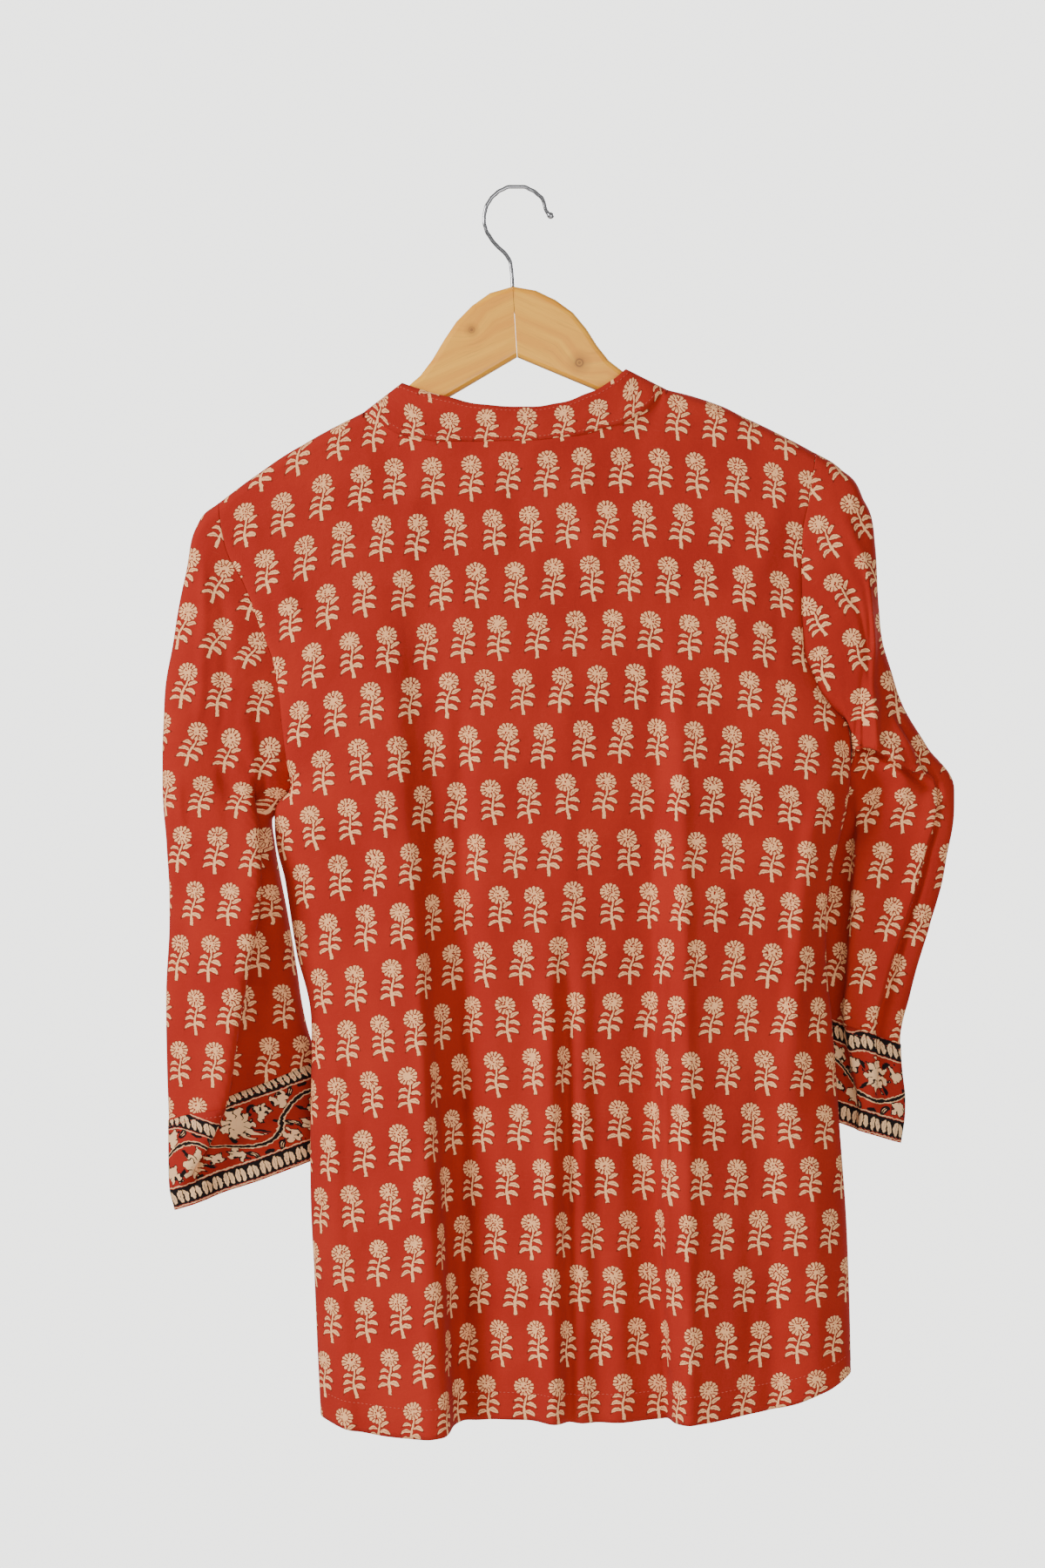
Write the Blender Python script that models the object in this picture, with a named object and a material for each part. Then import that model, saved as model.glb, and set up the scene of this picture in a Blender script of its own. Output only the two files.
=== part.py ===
"""Short kurta tunic hung on a flat wooden hanger with a wire hook.

Units are metres and +Z is up.  The tunic's back faces -Y and its front faces +Y, towards a wall.
The origin is the inside of the hook's crown, where it rests on a peg.  The hanger hangs a few
degrees off level, so the -X shoulder is the lower one.  Sizes and tables are in millimetres.
"""

import math
from collections import namedtuple

import bmesh
import bpy
import numpy as np

MM = 0.001

# Cloth and seams
CLOTH_WALL = 1.6            # cloth with its turned edges
SEAM_EDGE = 0.45            # half of the space between two pieces at a side or shoulder seam
ARMHOLE_GAP = 2.3           # space between the middle of a panel's wall and a sleeve's
CUFF_GAP = 0.6              # space between a sleeve and its border strip

# Hanger
WOOD_THICK = 12.0
WOOD_ROUNDING = 4.0
WOOD_UNDER_CLOTH = 2.1      # top of the wood below the middle of the cloth over it
JOINT_TOP = (-2.6, -68.5)   # the butt joint between the two arms, top and bottom
JOINT_FOOT = (0.5, -117.1)
JOINT_GAP = 0.3

# Hook
WIRE_RADIUS = 1.35
CROWN_RADIUS = 22.3         # to the middle of the wire
STEM_DEPTH = 18.0           # length of wire inside the wood
STEM_CLEARANCE = 0.3
BEAD_RADIUS = 2.3

# Neck and collar
NECK_LEFT = (-105.0, -155.4)
NECK_RIGHT = (103.5, -139.9)
NECK_DEPTH_BACK = 14.5      # half depth of the neck hole, towards the back
NECK_DEPTH_FRONT = 14.0
FRONT_NECK_DROP = 58.0      # how far the front neckline hangs below the back one
COLLAR_TAPER = 0.9          # depth of the band's upper edge, as a share of its seam's
COLLAR_TOP_LEFT = -79.2
COLLAR_TOP_RIGHT = 75.8
NECK_BLUNTNESS = 4.0        # 2 would make the neck hole an ellipse in plan
COLLAR_GAP = 1.0            # space between the collar and the panels' upper edges
SLIT_LENGTH = 190.0
SLIT_WIDTH = 9.0            # at the neck, tapering to nothing

# Body
OVER_WOOD = 8.0             # height in which the cloth rounds over the hanger's upper edge
NECK_SPREAD = 70.0          # height in which the neck's roundness fades into the panel
ARMPIT = 0.30               # share of the body's levels above the armpit
TOP_REACH = 0.36            # share in which the neck and shoulder line fades out
HEM_REACH = 0.30
EDGE_ROUND = 0.12           # share of the width in which a side rounds to its seam
FRONT_HEM_RISE = 7.0        # the front hem hangs this much higher

# Levels of the body from the shoulder tips (0) to the hem (1).  The left and right columns are
# the ends of the level; seam, back and front say how far the cloth stands off the middle plane.
Level = namedtuple("Level", "down left_x left_z right_x right_z seam back front")
BODY_LEVELS = (
    Level(0.00, -206.0, -218.5, 207.0, -184.0, 9.2, 9.2, 9.2),
    Level(0.05, -201.5, -247.0, 202.3, -216.0, 9.8, 11.5, 10.5),
    Level(0.10, -188.0, -275.0, 197.0, -248.0, 10.5, 13.5, 11.5),
    Level(0.15, -177.0, -305.0, 196.5, -280.0, 11.0, 15.0, 12.5),
    Level(0.20, -166.0, -338.0, 197.8, -313.0, 10.0, 16.5, 13.0),
    Level(0.25, -161.5, -375.0, 206.0, -341.0, 9.5, 18.0, 14.0),
    Level(0.28, -158.6, -399.0, 218.5, -361.0, 6.0, 18.5, 14.5),
    Level(0.30, -156.5, -416.0, 231.3, -377.2, SEAM_EDGE, 19.0, 15.0),
    Level(0.315, -159.5, -427.0, 231.8, -392.0, SEAM_EDGE, 19.2, 15.0),
    Level(0.33, -166.5, -437.0, 231.5, -406.0, SEAM_EDGE, 19.5, 15.5),
    Level(0.40, -167.0, -481.0, 219.0, -472.0, SEAM_EDGE, 20.5, 15.5),
    Level(0.48, -154.0, -529.0, 214.5, -520.0, SEAM_EDGE, 21.5, 15.0),
    Level(0.58, -141.8, -589.0, 218.6, -577.0, SEAM_EDGE, 22.0, 15.0),
    Level(0.70, -142.7, -665.0, 224.0, -652.0, SEAM_EDGE, 22.5, 15.5),
    Level(0.85, -139.7, -757.0, 229.8, -745.0, SEAM_EDGE, 23.0, 17.0),
    Level(1.00, -135.5, -850.5, 231.8, -820.5, SEAM_EDGE, 23.5, 18.0),
)

# Lines that run across, from left to right.
Place = namedtuple("Place", "x z")
LEFT_SHOULDER = (Place(-206.0, -218.5), Place(-180.5, -199.5), Place(-146.8, -177.6),
                 Place(*NECK_LEFT))
RIGHT_SHOULDER = (Place(*NECK_RIGHT), Place(136.2, -149.3), Place(157.3, -159.0),
                  Place(185.9, -172.8), Place(207.0, -184.0))
COLLAR_SEAM = (Place(*NECK_LEFT), Place(-89.5, -167.2), Place(-73.0, -173.6), Place(-42.7, -176.8),
               Place(-1.4, -176.3), Place(30.3, -174.0), Place(64.7, -166.4), Place(83.0, -158.8),
               Place(*NECK_RIGHT))
COLLAR_TOP = (Place(-79.2, -136.2), Place(-66.1, -141.2), Place(-45.5, -146.9),
              Place(-22.0, -151.9), Place(6.9, -153.4), Place(26.2, -151.3), Place(46.9, -144.8),
              Place(64.7, -135.6), Place(75.8, -126.5))
HEM = (Place(-135.5, -850.5), Place(-106.3, -857.5), Place(-78.0, -859.0), Place(-33.3, -852.5),
       Place(0.0, -849.0), Place(60.0, -851.5), Place(112.0, -850.0), Place(162.8, -844.5),
       Place(208.3, -832.5), Place(231.8, -820.5))

# Folds of the body.  A fold's crest runs down through three heights; before and after are its
# half widths towards -X and +X; rise is its height at the three heights; lean tips the crest.
Fold = namedtuple("Fold", "z0 x0 z1 x1 z2 x2 before after rise0 rise1 rise2 lean")
BACK_FOLDS = (
    Fold(-250, -98, -580, -72, -860, -58, 52, 17, 0, 11, 17, 7),        # long ridge, left
    Fold(-240, -73, -533, -49, -850, -36, 15, 34, 0, -8, -10, 0),       # its deep side
    Fold(-400, 22, -640, 26, -850, 30, 24, 20, 0, 3, 6, 0),             # low middle ridge
    Fold(-420, 52, -640, 53, -850, 52, 16, 22, 0, -2, -4, 0),
    Fold(-300, 92, -600, 92, -850, 99, 34, 15, 0, -8, -10, 0),          # long ridge, right
    Fold(-290, 108, -620, 111, -853, 120, 17, 46, 0, 10, 14, -7),
    Fold(-400, 214, -500, 198, -640, 186, 13, 15, 0, 5, 2, 0),          # crease from the armpit
    Fold(-560, -128, -680, -127, -850, -118, 11, 12, 0, 4, 3, 0),       # narrow fold, left edge
    Fold(-600, 176, -720, 178, -850, 180, 18, 22, 0, -3, -6, 0),
)
FRONT_FOLDS = (
    Fold(-330, 84, -600, 98, -850, 106, 34, 30, 0, 5, 8, 0),
    Fold(-360, -40, -620, -28, -850, -14, 36, 34, 0, 4, 7, 0),
    Fold(-420, 38, -650, 42, -850, 48, 26, 26, 0, -3, -5, 0),
)

# Stations of a sleeve from its armhole (0) to its end (1).  Outer and inner are the two edges
# of the flattened tube, half is half its depth.
Station = namedtuple("Station", "along outer_x outer_z inner_x inner_z outer_y inner_y half")
LEFT_SLEEVE = (
    Station(0.00, -206.0, -218.5, -157.0, -416.0, 0, 0, 11),
    Station(0.06, -220.5, -233.0, -165.5, -420.0, 0, 1, 14),
    Station(0.13, -228.5, -266.0, -169.5, -424.5, -1, 3, 16),
    Station(0.21, -237.5, -316.0, -171.0, -431.0, -2, 7, 18),
    Station(0.29, -243.5, -362.0, -171.0, -441.0, -4, 11, 18),
    Station(0.37, -244.5, -408.0, -169.5, -455.0, -5, 14, 18),
    Station(0.46, -241.5, -455.0, -166.5, -474.0, -6, 15, 18),
    Station(0.56, -239.5, -508.0, -160.5, -505.0, -6, 15, 17),
    Station(0.66, -242.0, -562.0, -154.0, -545.0, -5, 17, 16),
    Station(0.74, -241.5, -610.0, -148.5, -580.0, -4, 21, 15),
    Station(0.80, -240.4, -648.0, -139.0, -609.0, -3, 25, 14),
    Station(0.90, -240.0, -684.0, -130.0, -641.0, -3, 28, 13),
    Station(1.00, -236.0, -708.0, -126.0, -671.0, -3, 28, 13),
)
RIGHT_SLEEVE = (
    Station(0.00, 207.0, -184.0, 231.3, -377.2, 0, 0, 11),
    Station(0.06, 225.0, -195.5, 236.5, -380.0, 0, 1, 14),
    Station(0.13, 240.0, -215.0, 238.5, -386.0, 1, 2, 15),
    Station(0.20, 248.5, -246.0, 239.3, -391.5, 2, 3, 15),
    Station(0.27, 251.5, -290.0, 239.2, -398.0, 4, 5, 14),
    Station(0.35, 261.5, -338.0, 238.3, -405.0, 6, 8, 14),
    Station(0.43, 285.5, -387.0, 235.5, -413.0, 8, 16, 14),
    Station(0.49, 305.0, -420.0, 223.0, -433.0, 9, 25, 13),
    Station(0.57, 300.0, -464.0, 203.0, -460.0, 11, 32, 12),
    Station(0.66, 288.5, -512.0, 187.0, -498.0, 13, 35, 12),
    Station(0.74, 275.0, -560.0, 178.0, -533.0, 14, 36, 12),
    Station(0.80, 268.0, -597.0, 173.0, -563.0, 14, 36, 11),
    Station(0.90, 271.0, -634.0, 169.0, -600.0, 14, 36, 11),
    Station(1.00, 268.0, -664.0, 167.0, -632.0, 14, 36, 11),
)
CUFF_START = 0.80
ARMHOLE_REACH = 0.34        # share of a sleeve in which its armhole's curve fades out
SEAM_REACH = 0.12           # share in which the space at the armhole seam is taken up

# Folds of a sleeve run through three stations; share is the place from outer to inner edge.
SleeveFold = namedtuple("SleeveFold", "t0 share0 t1 share1 t2 share2 before after "
                                      "rise0 rise1 rise2 lean")
LEFT_SLEEVE_FOLDS = (
    SleeveFold(0.30, 0.80, 0.56, 0.52, 0.90, 0.08, 44, 17, 0, 14, 8, 9),     # the overlying half
    SleeveFold(0.34, 0.98, 0.56, 0.76, 0.90, 0.34, 15, 26, 0, -8, -7, 0),    # deep under it
)
RIGHT_SLEEVE_FOLDS = (
    SleeveFold(0.24, 0.55, 0.40, 0.46, 0.52, 0.40, 20, 20, 0, 6, 0, 0),      # swag at the elbow
    SleeveFold(0.30, 0.86, 0.44, 0.70, 0.56, 0.66, 16, 14, 0, -6, 0, 0),
    SleeveFold(0.50, 0.30, 0.74, 0.30, 1.00, 0.30, 22, 9, 0, 5, 5, 3),       # crease down to the cuff
    SleeveFold(0.50, 0.56, 0.74, 0.52, 1.00, 0.50, 9, 16, 0, -4, -4, 0),
)

# Upper edges of the hanger where they show between the hook and the collar.
LEFT_ARM_TOP = (Place(-105.0, -158.2), Place(-79.0, -141.0), Place(-66.6, -130.2),
                Place(-58.3, -119.2), Place(-50.1, -105.4), Place(-41.8, -93.0),
                Place(-30.8, -81.8), Place(-18.4, -73.0), Place(*JOINT_TOP))
RIGHT_ARM_TOP = (Place(*JOINT_TOP), Place(13.3, -71.2), Place(27.1, -77.8), Place(39.5, -86.8),
                 Place(49.1, -98.5), Place(56.0, -109.5), Place(64.3, -120.0), Place(78.0, -130.6),
                 Place(103.5, -143.0))
LEFT_ARM_END = (Place(-207.5, -224.0), Place(-210.0, -231.0), Place(-206.0, -238.5))
RIGHT_ARM_END = (Place(208.5, -189.5), Place(211.0, -195.5), Place(207.0, -203.5))

# Middle line of the hook's wire, before and after its round crown.
HOOK_NECK = (Place(-3.7, -54.0), Place(-6.2, -47.6), Place(-13.0, -40.4))
HOOK_TIP = (Place(20.6, -15.2), Place(25.6, -20.4))
CROWN_FROM = math.radians(214.0)
CROWN_TO = math.radians(32.0)

# How finely the cloth is divided.  Rows are shares of a piece's length, columns of its width.
BACK_SPACING = 15.0
BACK_RIDGE_COLUMNS = (0.155, 0.175, 0.19, 0.205, 0.22, 0.285, 0.31, 0.61, 0.63, 0.645, 0.66,
                      0.675, 0.69)
BACK_ROWS = (0.0, 0.002, 0.006, 0.012, 0.025, 0.05, 0.08, 0.115, 0.15, 0.19, 0.225, 0.255, 0.28,
             0.30, 0.33, 0.37, 0.42, 0.48, 0.545, 0.62, 0.70, 0.78, 0.86, 0.93, 1.0)
FRONT_SPACING = 22.0
NECK_SPACING = 12.0
FRONT_ROWS = (0.0, 0.002, 0.006, 0.012, 0.03, 0.065, 0.11, 0.15, 0.19, 0.225, 0.26, 0.30, 0.33,
              0.37, 0.43, 0.51, 0.61, 0.72, 0.86, 1.0)
EDGE_COLUMNS = (0.0, 0.004, 0.015, 0.036, 0.066, 0.1)
CORNER_STEPS = (0.0, 0.7, 3.0, 8.0, 16.0)           # from a neck corner, in millimetres
SLEEVE_COLUMNS = 26
SLEEVE_ROWS = (0.0, 0.02, 0.045, 0.08, 0.12, 0.165, 0.21, 0.255, 0.30, 0.345, 0.39, 0.435, 0.48,
               0.53, 0.58, 0.635, 0.69, 0.745, CUFF_START)
CUFF_ROWS = 4
COLLAR_COLUMNS = 14                                 # in each quarter of the band
COLLAR_ROWS = 3
ARM_POINTS = 13
WIRE_RINGS = 46
BEAD_RINGS = (2.0, 1.75, 1.4, 1.0, 0.6, 0.25, 0.03)  # from the wire's tip, in bead radii
BEAD_TIP = 0.12             # radius of the flat that closes the bead

CLOTH_RED = (0.515, 0.034, 0.018)
BORDER_RED = (0.30, 0.024, 0.014)
WOOD_COLOUR = (0.72, 0.42, 0.13)
STEEL_COLOUR = (0.55, 0.55, 0.56)


# Curves

def through(stops, values, at):
    """Smooth values at places between the stops, without overshoot."""
    stops = np.asarray(stops, float)
    values = np.asarray(values, float)
    step = np.diff(stops)
    rise = np.diff(values) / step
    slope = np.zeros(len(stops))
    slope[0] = rise[0]
    slope[-1] = rise[-1]
    for i in range(1, len(rise)):
        if rise[i - 1] * rise[i] > 0:
            slope[i] = 2.0 * rise[i - 1] * rise[i] / (rise[i - 1] + rise[i])
    at = np.clip(at, stops[0], stops[-1])
    i = np.clip(np.searchsorted(stops, at, side="right") - 1, 0, len(step) - 1)
    f = (at - stops[i]) / step[i]
    start = values[i] + f * step[i] * slope[i]
    end = values[i + 1] - (1.0 - f) * step[i] * slope[i + 1]
    weight = f * f * (3.0 - 2.0 * f)
    return start * (1.0 - weight) + end * weight


def column(table, name):
    return [getattr(row, name) for row in table]


def line_z(places, x):
    """Height of a line given by places that run from left to right."""
    return through(column(places, "x"), column(places, "z"), x)


def between(start, end, share):
    return start + (end - start) * share


# Body

def level_value(name, down):
    return through(column(BODY_LEVELS, "down"), column(BODY_LEVELS, name), down)


def front_neck_z(x):
    half = 0.5 * (NECK_RIGHT[0] - NECK_LEFT[0])
    middle = 0.5 * (NECK_RIGHT[0] + NECK_LEFT[0])
    roundness = np.clip(1.0 - ((x - middle) / half) ** 2, 0.0, 1.0)
    return line_z(COLLAR_SEAM, x) - FRONT_NECK_DROP * roundness


def top_z(x, front):
    """Upper edge of a body panel: shoulder, neckline, shoulder."""
    neck = front_neck_z(x) if front else line_z(COLLAR_SEAM, x)
    left = line_z(LEFT_SHOULDER, x)
    right = line_z(RIGHT_SHOULDER, x)
    return np.where(x < NECK_LEFT[0], left, np.where(x > NECK_RIGHT[0], right, neck))


def neck_roundness(x):
    """0 at the ends of the collar and 1 at the middle of the neck."""
    half = 0.5 * (NECK_RIGHT[0] - NECK_LEFT[0])
    middle = 0.5 * (NECK_RIGHT[0] + NECK_LEFT[0])
    share = np.clip(np.abs((x - middle) / half), 0.0, 1.0)
    return (1.0 - share ** NECK_BLUNTNESS) ** (1.0 / NECK_BLUNTNESS)


def neck_depth(x, front):
    """How far the neckline stands off the middle plane."""
    return SEAM_EDGE + (NECK_DEPTH_FRONT if front else NECK_DEPTH_BACK) * neck_roundness(x)


def fold_shape(folds, x, z):
    """What the folds add at a place: depth, and the sideways lean of their crests."""
    depth = np.zeros_like(x)
    lean = np.zeros_like(x)
    for fold in folds:
        heights = (-fold.z0, -fold.z1, -fold.z2)
        crest = through(heights, (fold.x0, fold.x1, fold.x2), -z)
        rise = through(heights, (fold.rise0, fold.rise1, fold.rise2), -z)
        across = x - crest
        half = np.where(across < 0, fold.before, fold.after)
        bump = np.clip(1.0 - (across / half) ** 2, 0.0, 1.0) ** 2
        depth += rise * bump
        lean += fold.lean * rise / max(abs(fold.rise1), abs(fold.rise2)) * bump
    return depth, lean


def body_place(across, down, front):
    """Middle of the cloth's wall; across runs 0 to 1 from -X to +X, down from shoulder to hem."""
    across = np.asarray(across, float)
    down = np.asarray(down, float)
    x = between(level_value("left_x", down), level_value("right_x", down), across)
    z = between(level_value("left_z", down), level_value("right_z", down), across)

    first = BODY_LEVELS[0]
    last = BODY_LEVELS[-1]
    top_x = between(first.left_x, first.right_x, across)
    top = top_z(top_x, front) - between(first.left_z, first.right_z, across)
    hem_x = between(last.left_x, last.right_x, across)
    hem = line_z(HEM, hem_x) - between(last.left_z, last.right_z, across)
    if front:
        hem = hem + FRONT_HEM_RISE
    z = z + top * np.clip(1.0 - down / TOP_REACH, 0.0, 1.0) ** 2
    z = z + hem * np.clip(1.0 - (1.0 - down) / HEM_REACH, 0.0, 1.0) ** 2

    seam = level_value("seam", down)
    full = level_value("front" if front else "back", down)
    from_edge = np.clip(np.minimum(across, 1.0 - across) / EDGE_ROUND, 0.0, 1.0)
    inside = np.sqrt(1.0 - (1.0 - from_edge) ** 2)
    depth, lean = fold_shape(FRONT_FOLDS if front else BACK_FOLDS, x, z)
    fade = np.clip(from_edge * 2.0, 0.0, 1.0)
    stand = seam + (full - seam) * inside + depth * fade

    neck = neck_roundness(top_x)
    edge = neck_depth(top_x, front)
    below = np.clip(top_z(top_x, front) - z, 0.0, None)
    close = np.clip(below / (OVER_WOOD + NECK_SPREAD * neck), 0.0, 1.0)
    over_wood = np.sqrt(1.0 - (1.0 - close) ** 2)
    below_neck = close * close * (3.0 - 2.0 * close)
    grown = between(over_wood, below_neck, neck)
    stand = between(edge, stand, grown)
    x = x + lean * fade
    y = stand if front else -stand
    return np.stack([x, y, z], axis=-1)


# Sleeves

def station_value(stations, name, along):
    return through(column(stations, "along"), column(stations, name), along)


def sleeve_section(stations, around, along):
    """A flattened ring; around runs 0 at the outer edge, 0.5 at the inner one, back to 1."""
    angle = 2.0 * math.pi * around
    share = 0.5 * (1.0 - np.cos(angle))
    bow = np.sign(np.sin(angle)) * np.abs(np.sin(angle)) ** 0.8
    x = between(station_value(stations, "outer_x", along),
                station_value(stations, "inner_x", along), share)
    z = between(station_value(stations, "outer_z", along),
                station_value(stations, "inner_z", along), share)
    y = between(station_value(stations, "outer_y", along),
                station_value(stations, "inner_y", along), share)
    y = y - station_value(stations, "half", along) * bow
    return np.stack([x, y, z], axis=-1), share


def armhole_loop(side, around):
    """The edge of the body's two panels that a sleeve is sewn to."""
    share = 0.5 * (1.0 - np.cos(2.0 * math.pi * around))
    edge = np.full_like(around, 0.0 if side < 0 else 1.0)
    back = body_place(edge, ARMPIT * share, False)
    front = body_place(edge, ARMPIT * share, True)
    return np.where((around <= 0.5)[..., None], back, front)


def sleeve_place(side, around, along):
    """Middle of a sleeve's wall."""
    stations = LEFT_SLEEVE if side < 0 else RIGHT_SLEEVE
    folds = LEFT_SLEEVE_FOLDS if side < 0 else RIGHT_SLEEVE_FOLDS
    around = np.asarray(around, float) % 1.0
    along = np.asarray(along, float)
    place, share = sleeve_section(stations, around, along)
    start, _ = sleeve_section(stations, around, np.zeros_like(around))
    keep = np.clip(1.0 - along / ARMHOLE_REACH, 0.0, 1.0) ** 2
    place = place + keep[..., None] * (armhole_loop(side, around) - start)

    inner_x = station_value(stations, "inner_x", along)
    outer_x = station_value(stations, "outer_x", along)
    inner_z = station_value(stations, "inner_z", along)
    outer_z = station_value(stations, "outer_z", along)
    width = np.hypot(inner_x - outer_x, inner_z - outer_z)
    shown = (around < 0.5) * np.clip(4.0 * np.minimum(share, 1.0 - share), 0.0, 1.0)
    for fold in folds:
        stops = (fold.t0, fold.t1, fold.t2)
        crest = through(stops, (fold.share0, fold.share1, fold.share2), along)
        rise = through(stops, (fold.rise0, fold.rise1, fold.rise2), along)
        across = (share - crest) * width
        half = np.where(across < 0, fold.before, fold.after)
        bump = shown * np.clip(1.0 - (across / half) ** 2, 0.0, 1.0) ** 2
        lean = fold.lean * rise / max(abs(fold.rise1), abs(fold.rise2)) * bump
        place[..., 0] += lean * (inner_x - outer_x) / width
        place[..., 2] += lean * (inner_z - outer_z) / width
        place[..., 1] -= rise * bump
    return place


# Collar

def seam_z(x, front):
    """Height of the neckline."""
    return np.where(front, front_neck_z(x), line_z(COLLAR_SEAM, x))


def collar_place(around, up):
    """Middle of the collar band; around runs from one front end past the back to the other.

    It runs 0 to 1 from the slit to the -X side, to 3 across the back, and to 4 at the slit.
    """
    front = (around < 1.0) | (around > 3.0)
    to_side = np.where(around < 1.0, -around, np.where(around > 3.0, 4.0 - around, around - 2.0))
    share = np.sin(0.5 * math.pi * to_side)
    slit = SLIT_WIDTH / (NECK_RIGHT[0] - NECK_LEFT[0])
    opened = np.where(around <= 1.0, -1.0, 1.0) * between(slit, 1.0, np.abs(share))
    share = np.where(front, opened, share)
    low_x = between(NECK_LEFT[0], NECK_RIGHT[0], 0.5 * (1.0 + share))
    high_x = between(COLLAR_TOP_LEFT, COLLAR_TOP_RIGHT, 0.5 * (1.0 + share))
    drop = np.where(front, line_z(COLLAR_SEAM, low_x) - front_neck_z(low_x), 0.0)
    low_z = line_z(COLLAR_SEAM, low_x) - drop
    slope = 0.5 * (seam_z(low_x + 1.0, front) - seam_z(low_x - 1.0, front))
    low_z = low_z + COLLAR_GAP * np.sqrt(1.0 + slope * slope)
    high_z = line_z(COLLAR_TOP, high_x) - drop
    low_y = np.where(front, neck_depth(low_x, True), -neck_depth(low_x, False))
    high_y = low_y * COLLAR_TAPER
    low = np.stack([low_x, low_y, low_z], axis=-1)
    high = np.stack([high_x, high_y, high_z], axis=-1)
    return between(low, high, up[..., None])


# Making objects

def new_object(name, data, material):
    thing = bpy.data.objects.new(name, data)
    bpy.context.collection.objects.link(thing)
    data.materials.append(material)
    return thing


def make_material(name, colour, roughness, metallic=0.0):
    material = bpy.data.materials.new(name)
    material.use_nodes = True
    shader = material.node_tree.nodes["Principled BSDF"]
    shader.inputs["Base Color"].default_value = (*colour, 1.0)
    shader.inputs["Roughness"].default_value = roughness
    shader.inputs["Metallic"].default_value = metallic
    material.diffuse_color = (*colour, 1.0)
    return material


def cloth_grid(across, down, place, closed=False):
    """A bmesh grid of cloth whose points are given by place(across, down)."""
    sheet = bmesh.new()
    bmesh.ops.create_grid(sheet, x_segments=len(across) - 1, y_segments=len(down) - 1, size=1.0)
    grid_across, grid_down = np.meshgrid(across, down)
    points = place(grid_across, grid_down).reshape(-1, 3) * MM
    for vertex, point in zip(sheet.verts, points):
        vertex.co = point
    if closed:
        bmesh.ops.remove_doubles(sheet, verts=sheet.verts[:], dist=0.00001)
    return sheet


def cloth_object(name, sheet, material):
    """Give a sheet its wall and make it an object."""
    mesh = bpy.data.meshes.new(name)
    sheet.to_mesh(mesh)
    sheet.free()
    mesh.shade_smooth()
    thing = new_object(name, mesh, material)
    wall = thing.modifiers.new("Wall", 'SOLIDIFY')
    wall.thickness = CLOTH_WALL * MM
    wall.offset = 0.0
    wall.use_quality_normals = True
    return thing


def body_columns(spacing, extra_bands):
    """Shares across the body: close at the sides and neck corners, even between."""
    width = BODY_LEVELS[0].right_x - BODY_LEVELS[0].left_x
    neck_from = (NECK_LEFT[0] - BODY_LEVELS[0].left_x) / width
    neck_to = (NECK_RIGHT[0] - BODY_LEVELS[0].left_x) / width
    fixed = list(EDGE_COLUMNS) + [1.0 - share for share in EDGE_COLUMNS]
    for corner, inward in ((neck_from, 1.0), (neck_to, -1.0)):
        fixed += [corner + inward * step / width for step in CORNER_STEPS]
    fixed += extra_bands
    shares = sorted(fixed)
    filled = [shares[0]]
    for share in shares[1:]:
        pieces = max(1, round((share - filled[-1]) * width / spacing))
        start = filled[-1]
        filled += [between(start, share, i / pieces) for i in range(1, pieces + 1)]
    return np.array(filled)


def build_back(material):
    across = body_columns(BACK_SPACING, BACK_RIDGE_COLUMNS)
    sheet = cloth_grid(across, np.array(BACK_ROWS), lambda a, d: body_place(a, d, False))
    return cloth_object("back_panel", sheet, material)


def build_front(material):
    width = BODY_LEVELS[0].right_x - BODY_LEVELS[0].left_x
    middle = (0.5 * (NECK_LEFT[0] + NECK_RIGHT[0]) - BODY_LEVELS[0].left_x) / width
    neck = [middle + i * NECK_SPACING / width for i in range(-7, 8)]
    across = body_columns(FRONT_SPACING, neck)
    sheet = cloth_grid(across, np.array(FRONT_ROWS), lambda a, d: body_place(a, d, True))
    cut_slit(sheet, len(across), int(np.argmin(np.abs(across - middle))))
    return cloth_object("front_panel", sheet, material)


def cut_slit(sheet, row_length, middle_column):
    """Open the front below the neck: its two edges part by a narrow wedge."""
    sheet.verts.ensure_lookup_table()
    top = sheet.verts[middle_column].co.z
    foot = top - SLIT_LENGTH * MM
    line = [v for v in sheet.verts if v.index % row_length == middle_column]
    line = [v for v in line if v.co.z >= foot]
    inside = set(line)
    edges = [e for e in sheet.edges if e.verts[0] in inside and e.verts[1] in inside]
    lowest = min(v.co.z for v in line)
    middle_x = {round(v.co.z, 7): v.co.x for v in line}
    bmesh.ops.split_edges(sheet, edges=edges)
    for vertex in sheet.verts:
        if not vertex.is_boundary or round(vertex.co.z, 7) not in middle_x:
            continue
        if abs(vertex.co.x - middle_x[round(vertex.co.z, 7)]) > 0.00001:
            continue
        side = sum(f.calc_center_median().x - vertex.co.x for f in vertex.link_faces)
        opened = 0.5 * SLIT_WIDTH * MM * (vertex.co.z - lowest) / (top - lowest)
        vertex.co.x += math.copysign(opened, side)


def build_sleeve(name, side, material):
    around = np.linspace(0.0, 1.0, SLEEVE_COLUMNS + 1)
    along = np.array(SLEEVE_ROWS)
    sheet = cloth_grid(around, along, lambda a, t: seamed_sleeve(side, a, t), closed=True)
    return cloth_object(name, sheet, material)


def seamed_sleeve(side, around, along):
    """The sleeve, its first rings moved off the armhole, square to the seam."""
    edge = np.zeros_like(along)
    step = sleeve_place(side, around, edge + 0.02) - sleeve_place(side, around, edge)
    seam = sleeve_place(side, around + 0.01, edge) - sleeve_place(side, around - 0.01, edge)
    seam /= np.linalg.norm(seam, axis=-1, keepdims=True)
    step -= seam * np.sum(step * seam, axis=-1, keepdims=True)
    step /= np.linalg.norm(step, axis=-1, keepdims=True)
    moved = ARMHOLE_GAP * np.clip(1.0 - along / SEAM_REACH, 0.0, 1.0)
    return sleeve_place(side, around, along) + moved[..., None] * step


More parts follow.
